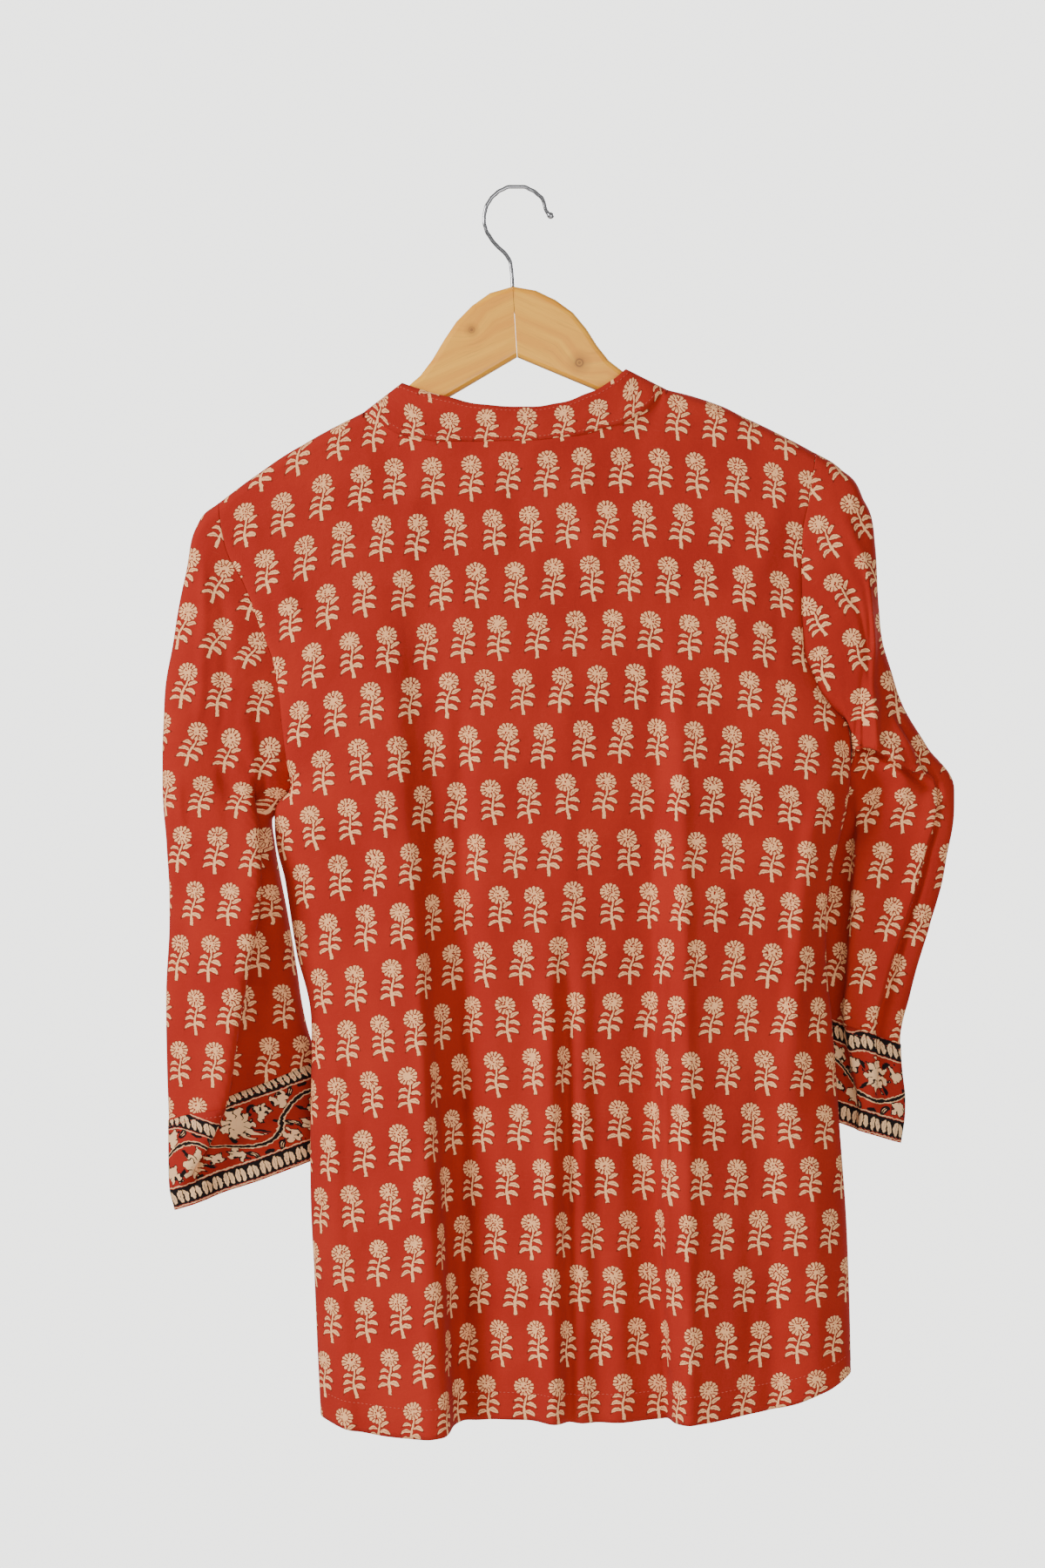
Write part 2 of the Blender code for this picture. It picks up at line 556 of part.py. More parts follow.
def build_cuff(name, side, material):
    around = np.linspace(0.0, 1.0, SLEEVE_COLUMNS + 1)
    stations = LEFT_SLEEVE if side < 0 else RIGHT_SLEEVE
    length = station_value(stations, "outer_z", CUFF_START) - station_value(stations, "outer_z", 1.0)
    start = CUFF_START + CUFF_GAP * (1.0 - CUFF_START) / length
    along = np.linspace(start, 1.0, CUFF_ROWS + 1)
    sheet = cloth_grid(around, along, lambda a, t: sleeve_place(side, a, t), closed=True)
    return cloth_object(name, sheet, material)


def build_collar(material):
    around = np.linspace(0.0, 4.0, 4 * COLLAR_COLUMNS + 1)
    up = np.linspace(0.0, 1.0, COLLAR_ROWS + 1)
    sheet = cloth_grid(around, up, collar_place)
    return cloth_object("collar_band", sheet, material)


def joint_x(z):
    """The butt joint's place across at a height."""
    return between(JOINT_TOP[0], JOINT_FOOT[0], (z - JOINT_TOP[1]) / (JOINT_FOOT[1] - JOINT_TOP[1]))


def arm_outline(side):
    """The outline of one hanger arm, from the joint's top round its end to the joint's foot."""
    shown = LEFT_ARM_TOP[::-1] if side < 0 else RIGHT_ARM_TOP
    shoulder = LEFT_SHOULDER if side < 0 else RIGHT_SHOULDER
    neck, tip = (shoulder[-1], shoulder[0]) if side < 0 else (shoulder[0], shoulder[-1])
    end = LEFT_ARM_END if side < 0 else RIGHT_ARM_END
    gap = 0.5 * side * JOINT_GAP
    foot = joint_x(JOINT_FOOT[1]) + gap
    outline = [(joint_x(JOINT_TOP[1]) + gap, JOINT_TOP[1])]
    outline += [(place.x, place.z) for place in shown[1:]]
    under = np.linspace(neck.x, tip.x, ARM_POINTS)[1:]
    outline += [(x, float(line_z(shoulder, x)) - WOOD_UNDER_CLOTH) for x in under]
    outline += [(place.x, place.z) for place in end]
    outline += [(between(end[-1].x, foot, 0.5), between(end[-1].z, JOINT_FOOT[1], 0.5))]
    outline += [(foot, JOINT_FOOT[1])]
    return outline


def build_arm(name, side, material):
    shape = bmesh.new()
    half = 0.5 * WOOD_THICK * MM
    points = [shape.verts.new((x * MM, -half, z * MM)) for x, z in arm_outline(side)]
    face = shape.faces.new(points)
    grown = bmesh.ops.extrude_face_region(shape, geom=[face])
    moved = [v for v in grown["geom"] if isinstance(v, bmesh.types.BMVert)]
    bmesh.ops.translate(shape, vec=(0.0, WOOD_THICK * MM, 0.0), verts=moved)
    bmesh.ops.recalc_face_normals(shape, faces=shape.faces[:])
    rim = []
    for edge in shape.edges:
        a, b = (v.co for v in edge.verts)
        level = abs(a.y - b.y) < 0.1 * half
        at_joint = all(abs(p.x / MM - joint_x(p.z / MM)) < 2.0 * JOINT_GAP for p in (a, b))
        if level and not at_joint:
            rim.append(edge)
    bmesh.ops.bevel(shape, geom=rim, offset=WOOD_ROUNDING * MM, segments=3, profile=0.5,
                    affect='EDGES', material=-1, clamp_overlap=True)
    mesh = bpy.data.meshes.new(name)
    shape.to_mesh(mesh)
    shape.free()
    mesh.shade_smooth()
    mesh.set_sharp_from_angle(angle=math.radians(40.0))
    return new_object(name, mesh, material)


def bore_arms(arms):
    """The blind hole for the hook's stem, half in each arm."""
    top = np.array([JOINT_TOP[0], 0.0, JOINT_TOP[1]])
    foot = np.array([JOINT_FOOT[0], 0.0, JOINT_FOOT[1]])
    along = (foot - top) / np.linalg.norm(foot - top)
    depth = 2.0 * (STEM_DEPTH + 1.0)
    radius = (WIRE_RADIUS + STEM_CLEARANCE) * MM
    bpy.ops.mesh.primitive_cylinder_add(vertices=12, radius=radius, depth=depth * MM,
                                        location=top * MM)
    cutter = bpy.context.object
    cutter.name = "stem_bore_cutter"
    cutter.rotation_euler = (0.0, math.atan2(-along[0], -along[2]), 0.0)
    cutter.hide_render = True
    cutter.display_type = 'WIRE'
    for arm in arms:
        cut = arm.modifiers.new("Bore", 'BOOLEAN')
        cut.operation = 'DIFFERENCE'
        cut.object = cutter


def hook_route():
    """Middle line of the wire from the end of its stem to its tip."""
    top = np.array(JOINT_TOP)
    foot = np.array(JOINT_FOOT)
    along = (foot - top) / np.linalg.norm(foot - top)
    route = [top + along * STEM_DEPTH, top + along * STEM_DEPTH * 0.5, top]
    route += [np.array(place) for place in HOOK_NECK]
    centre = np.array([0.0, WIRE_RADIUS - CROWN_RADIUS])
    for angle in np.linspace(CROWN_FROM, CROWN_TO, 12):
        route.append(centre + CROWN_RADIUS * np.array([math.cos(angle), math.sin(angle)]))
    route += [np.array(place) for place in HOOK_TIP]
    return np.array(route)


def build_hook(material):
    route = hook_route()
    passed = np.concatenate([[0.0], np.cumsum(np.linalg.norm(np.diff(route, axis=0), axis=1))])
    length = passed[-1]
    bead = length - BEAD_RADIUS * np.array(BEAD_RINGS)
    along = np.concatenate([np.linspace(0.0, bead[0] - 1.0, WIRE_RINGS), bead])
    spline_x = through(passed, route[:, 0], along)
    spline_z = through(passed, route[:, 1], along)
    curve = bpy.data.curves.new("hook", 'CURVE')
    curve.dimensions = '3D'
    curve.bevel_depth = WIRE_RADIUS * MM
    curve.bevel_resolution = 2
    curve.use_fill_caps = True
    spline = curve.splines.new('POLY')
    spline.points.add(len(along) - 1)
    for point, x, z, at in zip(spline.points, spline_x, spline_z, along):
        point.co = (x * MM, 0.0, z * MM, 1.0)
        from_bead = at - (length - BEAD_RADIUS)
        if from_bead > -BEAD_RADIUS:
            ball = math.sqrt(max(BEAD_RADIUS ** 2 - from_bead ** 2, 0.0))
            point.radius = max(ball, BEAD_TIP) / WIRE_RADIUS if from_bead > -1.8 else 1.0
    return new_object("hook", curve, material)


def main():
    for thing in list(bpy.data.objects):
        bpy.data.objects.remove(thing, do_unlink=True)
    cotton = make_material("Printed cotton", CLOTH_RED, 0.85)
    border = make_material("Printed cotton border", BORDER_RED, 0.85)
    wood = make_material("Varnished pine", WOOD_COLOUR, 0.45)
    steel = make_material("Plated steel wire", STEEL_COLOUR, 0.25, 1.0)
    build_back(cotton)
    build_front(cotton)
    build_sleeve("sleeve_left", -1, cotton)
    build_sleeve("sleeve_right", 1, cotton)
    build_cuff("cuff_left", -1, border)
    build_cuff("cuff_right", 1, border)
    build_collar(cotton)
    arms = [build_arm("hanger_arm_left", -1, wood), build_arm("hanger_arm_right", 1, wood)]
    bore_arms(arms)
    build_hook(steel)


main()
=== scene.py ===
"""Short block-printed kurta tunic on a flat wooden hanger, as an add-on that is run as a script.

Tables and sizes are in millimetres unless a name says otherwise.  The garment's back faces -Y.
"""

import math
from collections import namedtuple
from functools import partial, reduce

import bmesh
import bpy
import numpy as np
from mathutils import Matrix, Vector


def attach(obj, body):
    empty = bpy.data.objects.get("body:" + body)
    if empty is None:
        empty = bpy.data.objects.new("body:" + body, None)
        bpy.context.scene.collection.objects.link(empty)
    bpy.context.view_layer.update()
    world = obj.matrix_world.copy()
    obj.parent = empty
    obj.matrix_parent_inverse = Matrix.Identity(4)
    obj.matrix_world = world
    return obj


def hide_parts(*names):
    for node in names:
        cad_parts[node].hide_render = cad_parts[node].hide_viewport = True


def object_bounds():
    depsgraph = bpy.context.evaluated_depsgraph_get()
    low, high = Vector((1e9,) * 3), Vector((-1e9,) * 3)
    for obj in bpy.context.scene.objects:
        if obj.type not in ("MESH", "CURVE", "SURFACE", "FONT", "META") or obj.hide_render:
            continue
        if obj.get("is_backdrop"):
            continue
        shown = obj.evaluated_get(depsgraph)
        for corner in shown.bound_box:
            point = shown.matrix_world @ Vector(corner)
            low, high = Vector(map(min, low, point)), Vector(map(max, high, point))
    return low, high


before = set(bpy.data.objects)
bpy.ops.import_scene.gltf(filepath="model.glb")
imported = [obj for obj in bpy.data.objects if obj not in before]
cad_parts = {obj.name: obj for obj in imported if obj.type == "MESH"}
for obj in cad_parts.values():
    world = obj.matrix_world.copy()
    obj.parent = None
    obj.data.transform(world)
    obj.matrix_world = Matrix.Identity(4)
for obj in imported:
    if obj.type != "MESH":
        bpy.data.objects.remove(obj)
CAD_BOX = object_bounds()

bl_info = {
    "name": "Kurta tunic",
    "version": (1, 0, 0),
    "blender": (4, 5, 0),
    "location": "3D View > Sidebar > Kurta",
    "description": "Builds a block-printed kurta tunic on its hanger, with a plain studio",
    "category": "Object",
}

MM = 0.001
ROOT = "root"

# Seams: how near the middles of two shells come where they are sewn together
SEAM_EDGE = 0.05
ARMHOLE_GAP = 0.2
CUFF_STEP = 0.5             # the border strip lies this much outside the sleeve
COLLAR_GAP = -0.6           # the collar's foot covers the neckline's edge

# The butt joint between the hanger's two arms, top and bottom
JOINT_TOP = (-2.6, -68.5)
JOINT_FOOT = (0.5, -117.1)

# Hook
WIRE_RADIUS = 1.35
CROWN_RADIUS = 22.3         # to the middle of the wire
STEM_DEPTH = 18.0           # length of wire inside the wood
BEAD_RADIUS = 2.3

# Neck and collar
NECK_LEFT = (-105.0, -155.4)
NECK_RIGHT = (103.5, -139.9)
NECK_DEPTH_BACK = 14.5      # half depth of the neck hole, towards the back
NECK_DEPTH_FRONT = 14.0
FRONT_NECK_DROP = 58.0      # how far the front neckline hangs below the back one
COLLAR_TAPER = 0.9          # depth of the band's upper edge, as a share of its seam's
NECK_BLUNTNESS = 4.0        # 2 would make the neck hole an ellipse in plan
SLIT_LENGTH = 190.0
SLIT_WIDTH = 9.0            # at the neck, tapering to nothing

# Body
OVER_WOOD = 8.0             # height in which the cloth rounds over the hanger's upper edge
NECK_SPREAD = 70.0          # height in which the neck's roundness fades into the panel
ARMPIT = 0.30               # share of the body's levels above the armpit
TOP_REACH = 0.36            # share in which the neck and shoulder line fades out
HEM_REACH = 0.30
EDGE_ROUND = 0.12           # share of the width in which a side rounds to its seam
FRONT_HEM_RISE = 7.0        # the front hem hangs this much higher


def rows(kind, *table):
    """A table whose columns have names."""
    return tuple(kind(*row) for row in table)


# Levels of the body from the shoulder tips (0) to the hem (1).  The left and right columns are
# the ends of the level; seam, back and front say how far the cloth stands off the middle plane.
Level = namedtuple("Level", "down left_x left_z right_x right_z seam back front")
BODY_LEVELS = rows(
    Level,
    (0.00, -206, -218.5, 207, -184, 9.2, 9.2, 9.2),
    (0.05, -201.5, -247, 202.3, -216, 9.8, 11.5, 10.5),
    (0.10, -188, -275, 197, -248, 10.5, 13.5, 11.5),
    (0.15, -177, -305, 196.5, -280, 11, 15, 12.5),
    (0.20, -166, -338, 197.8, -313, 10, 16.5, 13),
    (0.25, -161.5, -375, 206, -341, 9.5, 18, 14),
    (0.28, -158.6, -399, 218.5, -361, 6, 18.5, 14.5),
    (0.30, -156.5, -416, 231.3, -377.2, SEAM_EDGE, 19, 15),
    (0.315, -165.5, -427, 231.8, -392, SEAM_EDGE, 19.2, 15),
    (0.33, -167.5, -437, 231.5, -406, SEAM_EDGE, 19.5, 15.5),
    (0.40, -160, -481, 219, -472, SEAM_EDGE, 20.5, 15.5),
    (0.48, -152.5, -529, 214.5, -520, SEAM_EDGE, 21.5, 15),
    (0.58, -141.8, -589, 218.6, -577, SEAM_EDGE, 22, 15),
    (0.70, -142.7, -665, 224, -652, SEAM_EDGE, 22.5, 15.5),
    (0.85, -139.7, -757, 229.8, -745, SEAM_EDGE, 23, 17),
    (1.00, -135.5, -850.5, 231.8, -820.5, SEAM_EDGE, 23.5, 18),
)

# Lines that run across, from left to right.
Place = namedtuple("Place", "x z")
LEFT_SHOULDER = rows(Place, (-206, -218.5), (-180.5, -199.5), (-146.8, -177.6), NECK_LEFT)
RIGHT_SHOULDER = rows(Place, NECK_RIGHT, (136.2, -149.3), (157.3, -159), (185.9, -172.8),
                      (207, -184))
COLLAR_SEAM = rows(Place, NECK_LEFT, (-89.5, -167.2), (-73, -173.6), (-42.7, -176.8),
                   (-1.4, -176.3), (30.3, -174), (64.7, -166.4), (83, -158.8), NECK_RIGHT)
COLLAR_TOP = rows(Place, (-79.2, -136.2), (-66.1, -141.2), (-45.5, -146.9), (-22, -151.9),
                  (6.9, -153.4), (26.2, -151.3), (46.9, -144.8), (64.7, -135.6), (75.8, -126.5))
HEM = rows(Place, (-135.5, -850.5), (-106.3, -857.5), (-78, -859), (-33.3, -852.5), (0, -849),
           (60, -851.5), (112, -850), (162.8, -844.5), (208.3, -832.5), (231.8, -820.5))

# Folds.  A crest crosses three levels, at a place across each; before and after are its half
# widths on its two sides; rise is its height at the levels; lean tips the crest over.  On the
# body the levels are depths below the hook's top, and the places run to +X.
Fold = namedtuple("Fold", "down0 at0 down1 at1 down2 at2 before after rise0 rise1 rise2 lean")
BACK_FOLDS = rows(
    Fold,
    (250, -98, 580, -72, 860, -58, 52, 17, 0, 11, 17, 7),        # long ridge, left
    (240, -73, 533, -49, 850, -36, 15, 34, 0, -8, -10, 0),       # its deep side
    (400, 22, 640, 26, 850, 30, 24, 20, 0, 3, 6, 0),             # low middle ridge
    (420, 52, 640, 53, 850, 52, 16, 22, 0, -2, -4, 0),
    (300, 92, 600, 92, 850, 99, 34, 15, 0, -8, -10, 0),          # long ridge, right
    (290, 108, 620, 111, 853, 120, 17, 46, 0, 10, 14, -7),
    (400, 214, 500, 198, 640, 186, 13, 15, 0, 5, 2, 0),          # crease from the armpit
    (560, -128, 680, -127, 850, -118, 11, 12, 0, 4, 3, 0),       # narrow fold, left edge
    (600, 176, 720, 178, 850, 180, 18, 22, 0, -3, -6, 0),
)
FRONT_FOLDS = rows(
    Fold,
    (330, 84, 600, 98, 850, 106, 34, 30, 0, 5, 8, 0),
    (360, -40, 620, -28, 850, -14, 36, 34, 0, 4, 7, 0),
    (420, 38, 650, 42, 850, 48, 26, 26, 0, -3, -5, 0),
)

# Stations of a sleeve from its armhole (0) to its end (1).  Outer and inner are the two edges
# of the flattened tube, half is half its depth.  Sleeves are held by side: -1 left, 1 right.
Station = namedtuple("Station", "along outer_x outer_z inner_x inner_z outer_y inner_y half")
SLEEVE_STATIONS = {
    -1: rows(
        Station,
        (0.00, -206, -218.5, -157, -416, 0, 0, 11),
        (0.06, -220.5, -233, -160.5, -421, 0, 1, 14),
        (0.13, -228.5, -266, -163.5, -427, -1, 3, 16),
        (0.21, -237.5, -316, -168, -434, -2, 7, 18),
        (0.29, -243.5, -362, -171, -441, -4, 11, 18),
        (0.37, -244.5, -408, -169.5, -455, -5, 14, 18),
        (0.46, -241.5, -455, -166.5, -474, -6, 15, 18),
        (0.56, -239.5, -508, -160.5, -505, -6, 15, 17),
        (0.66, -242, -562, -154, -545, -5, 17, 16),
        (0.74, -241.5, -610, -148.5, -580, -4, 21, 15),
        (0.80, -240.4, -648, -139, -609, -3, 25, 14),
        (0.90, -240, -684, -130, -641, -3, 28, 13),
        (1.00, -236, -708, -126, -671, -3, 28, 13),
    ),
    1: rows(
        Station,
        (0.00, 207, -184, 231.3, -377.2, 0, 0, 11),
        (0.06, 225, -195.5, 234.5, -380, 0, 1, 14),
        (0.13, 240, -215, 234.5, -386, 1, 2, 15),
        (0.20, 248.5, -246, 233.5, -391.5, 2, 3, 15),
        (0.27, 251.5, -290, 232.5, -398, 4, 5, 14),
        (0.35, 261.5, -338, 231, -405, 6, 8, 14),
        (0.43, 285.5, -387, 228.5, -413, 8, 16, 14),
        (0.49, 305, -420, 223, -433, 9, 25, 13),
        (0.57, 300, -464, 203, -460, 11, 32, 12),
        (0.66, 288.5, -512, 187, -498, 13, 35, 12),
        (0.74, 275, -560, 178, -533, 14, 36, 12),
        (0.80, 268, -597, 173, -563, 14, 36, 11),
        (0.90, 271, -634, 169, -600, 14, 36, 11),
        (1.00, 268, -664, 167, -632, 14, 36, 11),
    ),
}
CUFF_START = 0.80
ARMHOLE_REACH = 0.34        # share of a sleeve in which its armhole's curve fades out
SEAM_REACH = 0.12           # share in which the space at the armhole seam is taken up
RING_FLATNESS = 0.8         # 1 would make a flattened sleeve an ellipse
STEP_ALONG = 0.02           # small steps that give a sleeve's direction at its seam
STEP_AROUND = 0.01

# A sleeve's folds: levels along it, and places as shares from its outer to its inner edge.
SLEEVE_FOLDS = {
    -1: rows(
        Fold,
        (0.30, 0.80, 0.56, 0.52, 0.90, 0.08, 44, 11, 0, 14, 8, 12),   # the overlying half
        (0.34, 0.96, 0.56, 0.72, 0.90, 0.28, 12, 28, 0, -9, -8, 0),   # deep under it
    ),
    1: rows(
        Fold,
        (0.24, 0.55, 0.40, 0.46, 0.52, 0.40, 20, 20, 0, 6, 0, 0),     # swag at the elbow
        (0.30, 0.86, 0.44, 0.70, 0.56, 0.66, 16, 14, 0, -6, 0, 0),
        (0.44, 0.90, 0.62, 0.52, 0.95, 0.24, 30, 8, 0, 7, 6, 6),      # crease to the cuff
        (0.46, 0.98, 0.62, 0.66, 0.95, 0.38, 9, 22, 0, -5, -4, 0),
    ),
}

# Middle line of the hook's wire, before and after its round crown.
HOOK_NECK = ((-3.7, -54.0), (-6.2, -47.6), (-13.0, -40.4))
HOOK_TIP = ((20.6, -15.2), (25.6, -20.4))
CROWN_FROM = math.radians(214.0)
CROWN_TO = math.radians(32.0)

# Curves

def through(stops, values, at):
    """Smooth values at places between the stops, without overshoot."""
    stops = np.asarray(stops, float)
    values = np.asarray(values, float)
    step = np.diff(stops)
    rise = np.diff(values) / step
    slope = np.zeros(len(stops))
    slope[0], slope[-1] = rise[0], rise[-1]
    for i in range(1, len(rise)):
        if rise[i - 1] * rise[i] > 0:
            slope[i] = 2.0 * rise[i - 1] * rise[i] / (rise[i - 1] + rise[i])
    at = np.clip(at, stops[0], stops[-1])
    i = np.clip(np.searchsorted(stops, at, side="right") - 1, 0, len(step) - 1)
    f = (at - stops[i]) / step[i]
    start = values[i] + f * step[i] * slope[i]
    end = values[i + 1] - (1.0 - f) * step[i] * slope[i + 1]
    return between(start, end, eased(f))


def between(start, end, share):
    return start + (end - start) * share


def clamp(share):
    return np.clip(share, 0.0, 1.0)


def eased(share):
    """0 to 1, soft at both ends."""
    return share * share * (3.0 - 2.0 * share)


def edge_share(share):
    """0 at both ends of the shares and 0.5 in the middle."""
    return np.minimum(share, 1.0 - share)


def rounded(share):
    """0 to 1, steep at first and level at the end, as a quarter of a circle."""
    return np.sqrt(1.0 - (1.0 - share) ** 2)


def hump(from_middle):
    """1 in the middle, falling softly to 0 a half width away."""
    return clamp(1.0 - from_middle ** 2) ** 2


def unit(vectors):
    return vectors / np.linalg.norm(vectors, axis=-1, keepdims=True)


def length_along(points):
    """Distance run along a line of points."""
    return np.concatenate([[0.0], np.cumsum(np.linalg.norm(np.diff(points, axis=0), axis=1))])


def column(table, name):
    return [getattr(row, name) for row in table]


def line_z(places, x):
    """Height of a line given by places that run from left to right."""
    return through(column(places, "x"), column(places, "z"), x)


# Body

def level_value(name, down):
    return through(column(BODY_LEVELS, "down"), column(BODY_LEVELS, name), down)


def neck_share(x):
    """0 at the middle of the neck, 1 at the collar's ends and beyond."""
    half = 0.5 * (NECK_RIGHT[0] - NECK_LEFT[0])
    middle = 0.5 * (NECK_RIGHT[0] + NECK_LEFT[0])
    return clamp(np.abs((x - middle) / half))


def neckline_z(x, front):
    """Height of the neckline, which hangs lower at the front."""
    drop = FRONT_NECK_DROP * (1.0 - neck_share(x) ** 2)
    return line_z(COLLAR_SEAM, x) - np.where(front, drop, 0.0)


def neck_depth(x, front):
    """How far the neckline stands off the middle plane: in plan, a blunted ellipse."""
    full = np.where(front, NECK_DEPTH_FRONT, NECK_DEPTH_BACK)
    return SEAM_EDGE + full * (1.0 - neck_share(x) ** NECK_BLUNTNESS) ** (1.0 / NECK_BLUNTNESS)


def top_z(x, front):
    """Upper edge of a body panel: shoulder, neckline, shoulder."""
    right = np.where(x > NECK_RIGHT[0], line_z(RIGHT_SHOULDER, x), neckline_z(x, front))
    return np.where(x < NECK_LEFT[0], line_z(LEFT_SHOULDER, x), right)


def fold_shape(folds, down, across, width=1.0):
    """What the folds add at a place: depth, and the sideways lean of their crests."""
    depth = np.zeros_like(across)
    lean = np.zeros_like(across)
    for fold in folds:
        levels = (fold.down0, fold.down1, fold.down2)
        rise = through(levels, (fold.rise0, fold.rise1, fold.rise2), down)
        from_crest = (across - through(levels, (fold.at0, fold.at1, fold.at2), down)) * width
        bump = rise * hump(from_crest / np.where(from_crest < 0, fold.before, fold.after))
        depth += bump
        lean += fold.lean * bump / max(abs(fold.rise1), abs(fold.rise2))
    return depth, lean


def body_place(across, down, front):
    """Middle of the cloth's wall; across runs 0 to 1 from -X to +X, down from shoulder to hem."""
    across = np.asarray(across, float)
    down = np.asarray(down, float)
    x, z = (between(level_value("left_" + axis, down), level_value("right_" + axis, down), across)
            for axis in "xz")
    first, last = BODY_LEVELS[0], BODY_LEVELS[-1]
    top_x = between(first.left_x, first.right_x, across)
    top = top_z(top_x, front)
    above = top - between(first.left_z, first.right_z, across)
    hem = line_z(HEM, between(last.left_x, last.right_x, across))
    below = hem - between(last.left_z, last.right_z, across) + (FRONT_HEM_RISE if front else 0.0)
    z = z + above * clamp(1.0 - down / TOP_REACH) ** 2
    z = z + below * clamp(1.0 - (1.0 - down) / HEM_REACH) ** 2

    from_edge = clamp(edge_share(across) / EDGE_ROUND)
    fade = clamp(from_edge * 2.0)
    depth, lean = fold_shape(FRONT_FOLDS if front else BACK_FOLDS, -z, x)
    full = level_value("front" if front else "back", down)
    stand = between(level_value("seam", down), full, rounded(from_edge)) + depth * fade

    neck = 1.0 - neck_share(top_x) ** 2
    close = clamp((top - z) / (OVER_WOOD + NECK_SPREAD * neck))
    stand = between(neck_depth(top_x, front), stand, between(rounded(close), eased(close), neck))
    return np.stack([x + lean * fade, stand if front else -stand, z], axis=-1)


# Sleeves

def ring_share(around):
    """Share across a flattened ring, from 0 at its outer edge to 1 at the inner one."""
    return 0.5 * (1.0 - np.cos(2.0 * math.pi * around))


def sleeve_edge(stations, edge, along):
    """The outer or the inner edge of a flattened sleeve."""
    stops = column(stations, "along")
    return np.stack([through(stops, column(stations, edge + axis), along)
                     for axis in ("_x", "_y", "_z")], axis=-1)


def sleeve_ring(stations, around, along):
    """A flattened ring; around runs 0 at the outer edge, 0.5 at the inner one, back to 1."""
    wave = np.sin(2.0 * math.pi * around)
    half = through(column(stations, "along"), column(stations, "half"), along)
    place = between(sleeve_edge(stations, "outer", along), sleeve_edge(stations, "inner", along),
                    ring_share(around)[..., None])
    place[..., 1] -= half * np.sign(wave) * np.abs(wave) ** RING_FLATNESS
    return place


def armhole_loop(side, around):
    """The edge of the body's two panels that a sleeve is sewn to."""
    edge = np.full_like(around, 0.0 if side < 0 else 1.0)
    back, front = (body_place(edge, ARMPIT * ring_share(around), at) for at in (False, True))
    return np.where((around <= 0.5)[..., None], back, front)


def sleeve_place(side, around, along):
    """Middle of a sleeve's wall."""
    stations = SLEEVE_STATIONS[side]
    around = np.asarray(around, float) % 1.0
    along = np.asarray(along, float)
    place = sleeve_ring(stations, around, along)
    start = sleeve_ring(stations, around, np.zeros_like(around))
    keep = clamp(1.0 - along / ARMHOLE_REACH) ** 2
    place = place + keep[..., None] * (armhole_loop(side, around) - start)

    slope = sleeve_edge(stations, "inner", along) - sleeve_edge(stations, "outer", along)
    width = np.hypot(slope[..., 0], slope[..., 2])
    share = ring_share(around)
    shown = (around < 0.5) * clamp(4.0 * edge_share(share))
    depth, lean = fold_shape(SLEEVE_FOLDS[side], along, share, width)
    for axis in (0, 2):
        place[..., axis] += shown * lean * slope[..., axis] / width
    place[..., 1] -= shown * depth
    return place


def seamed_sleeve(side, around, along):
    """The sleeve, its first rings moved off the armhole, square to the seam."""
    edge = np.zeros_like(along)
    step = sleeve_place(side, around, edge + STEP_ALONG) - sleeve_place(side, around, edge)
    seam = unit(sleeve_place(side, around + STEP_AROUND, edge)
                - sleeve_place(side, around - STEP_AROUND, edge))
    off = unit(step - seam * np.sum(step * seam, axis=-1, keepdims=True))
    moved = ARMHOLE_GAP * clamp(1.0 - along / SEAM_REACH)
    return sleeve_place(side, around, along) + moved[..., None] * off


# Collar

def collar_place(around, up):
    """Middle of the collar band; around runs from one front end past the back to the other.

    It runs 0 to 1 from the slit to the -X side, to 3 across the back, and to 4 at the slit.
    """
    front = (around < 1.0) | (around > 3.0)
    to_side = np.where(around < 1.0, -around, np.where(around > 3.0, 4.0 - around, around - 2.0))
    share = np.sin(0.5 * math.pi * to_side)
    slit = SLIT_WIDTH / (NECK_RIGHT[0] - NECK_LEFT[0])
    opened = np.where(around <= 1.0, -1.0, 1.0) * between(slit, 1.0, np.abs(share))
    share = 0.5 * (1.0 + np.where(front, opened, share))
    low_x = between(NECK_LEFT[0], NECK_RIGHT[0], share)
    high_x = between(COLLAR_TOP[0].x, COLLAR_TOP[-1].x, share)
    low_z = neckline_z(low_x, front)
    drop = line_z(COLLAR_SEAM, low_x) - low_z
    slope = 0.5 * (neckline_z(low_x + 1.0, front) - neckline_z(low_x - 1.0, front))
    low_y = np.where(front, 1.0, -1.0) * neck_depth(low_x, front)
    low = [low_x, low_y, low_z + COLLAR_GAP * np.sqrt(1.0 + slope * slope)]
    high = [high_x, low_y * COLLAR_TAPER, line_z(COLLAR_TOP, high_x) - drop]
    return between(np.stack(low, axis=-1), np.stack(high, axis=-1), up[..., None])


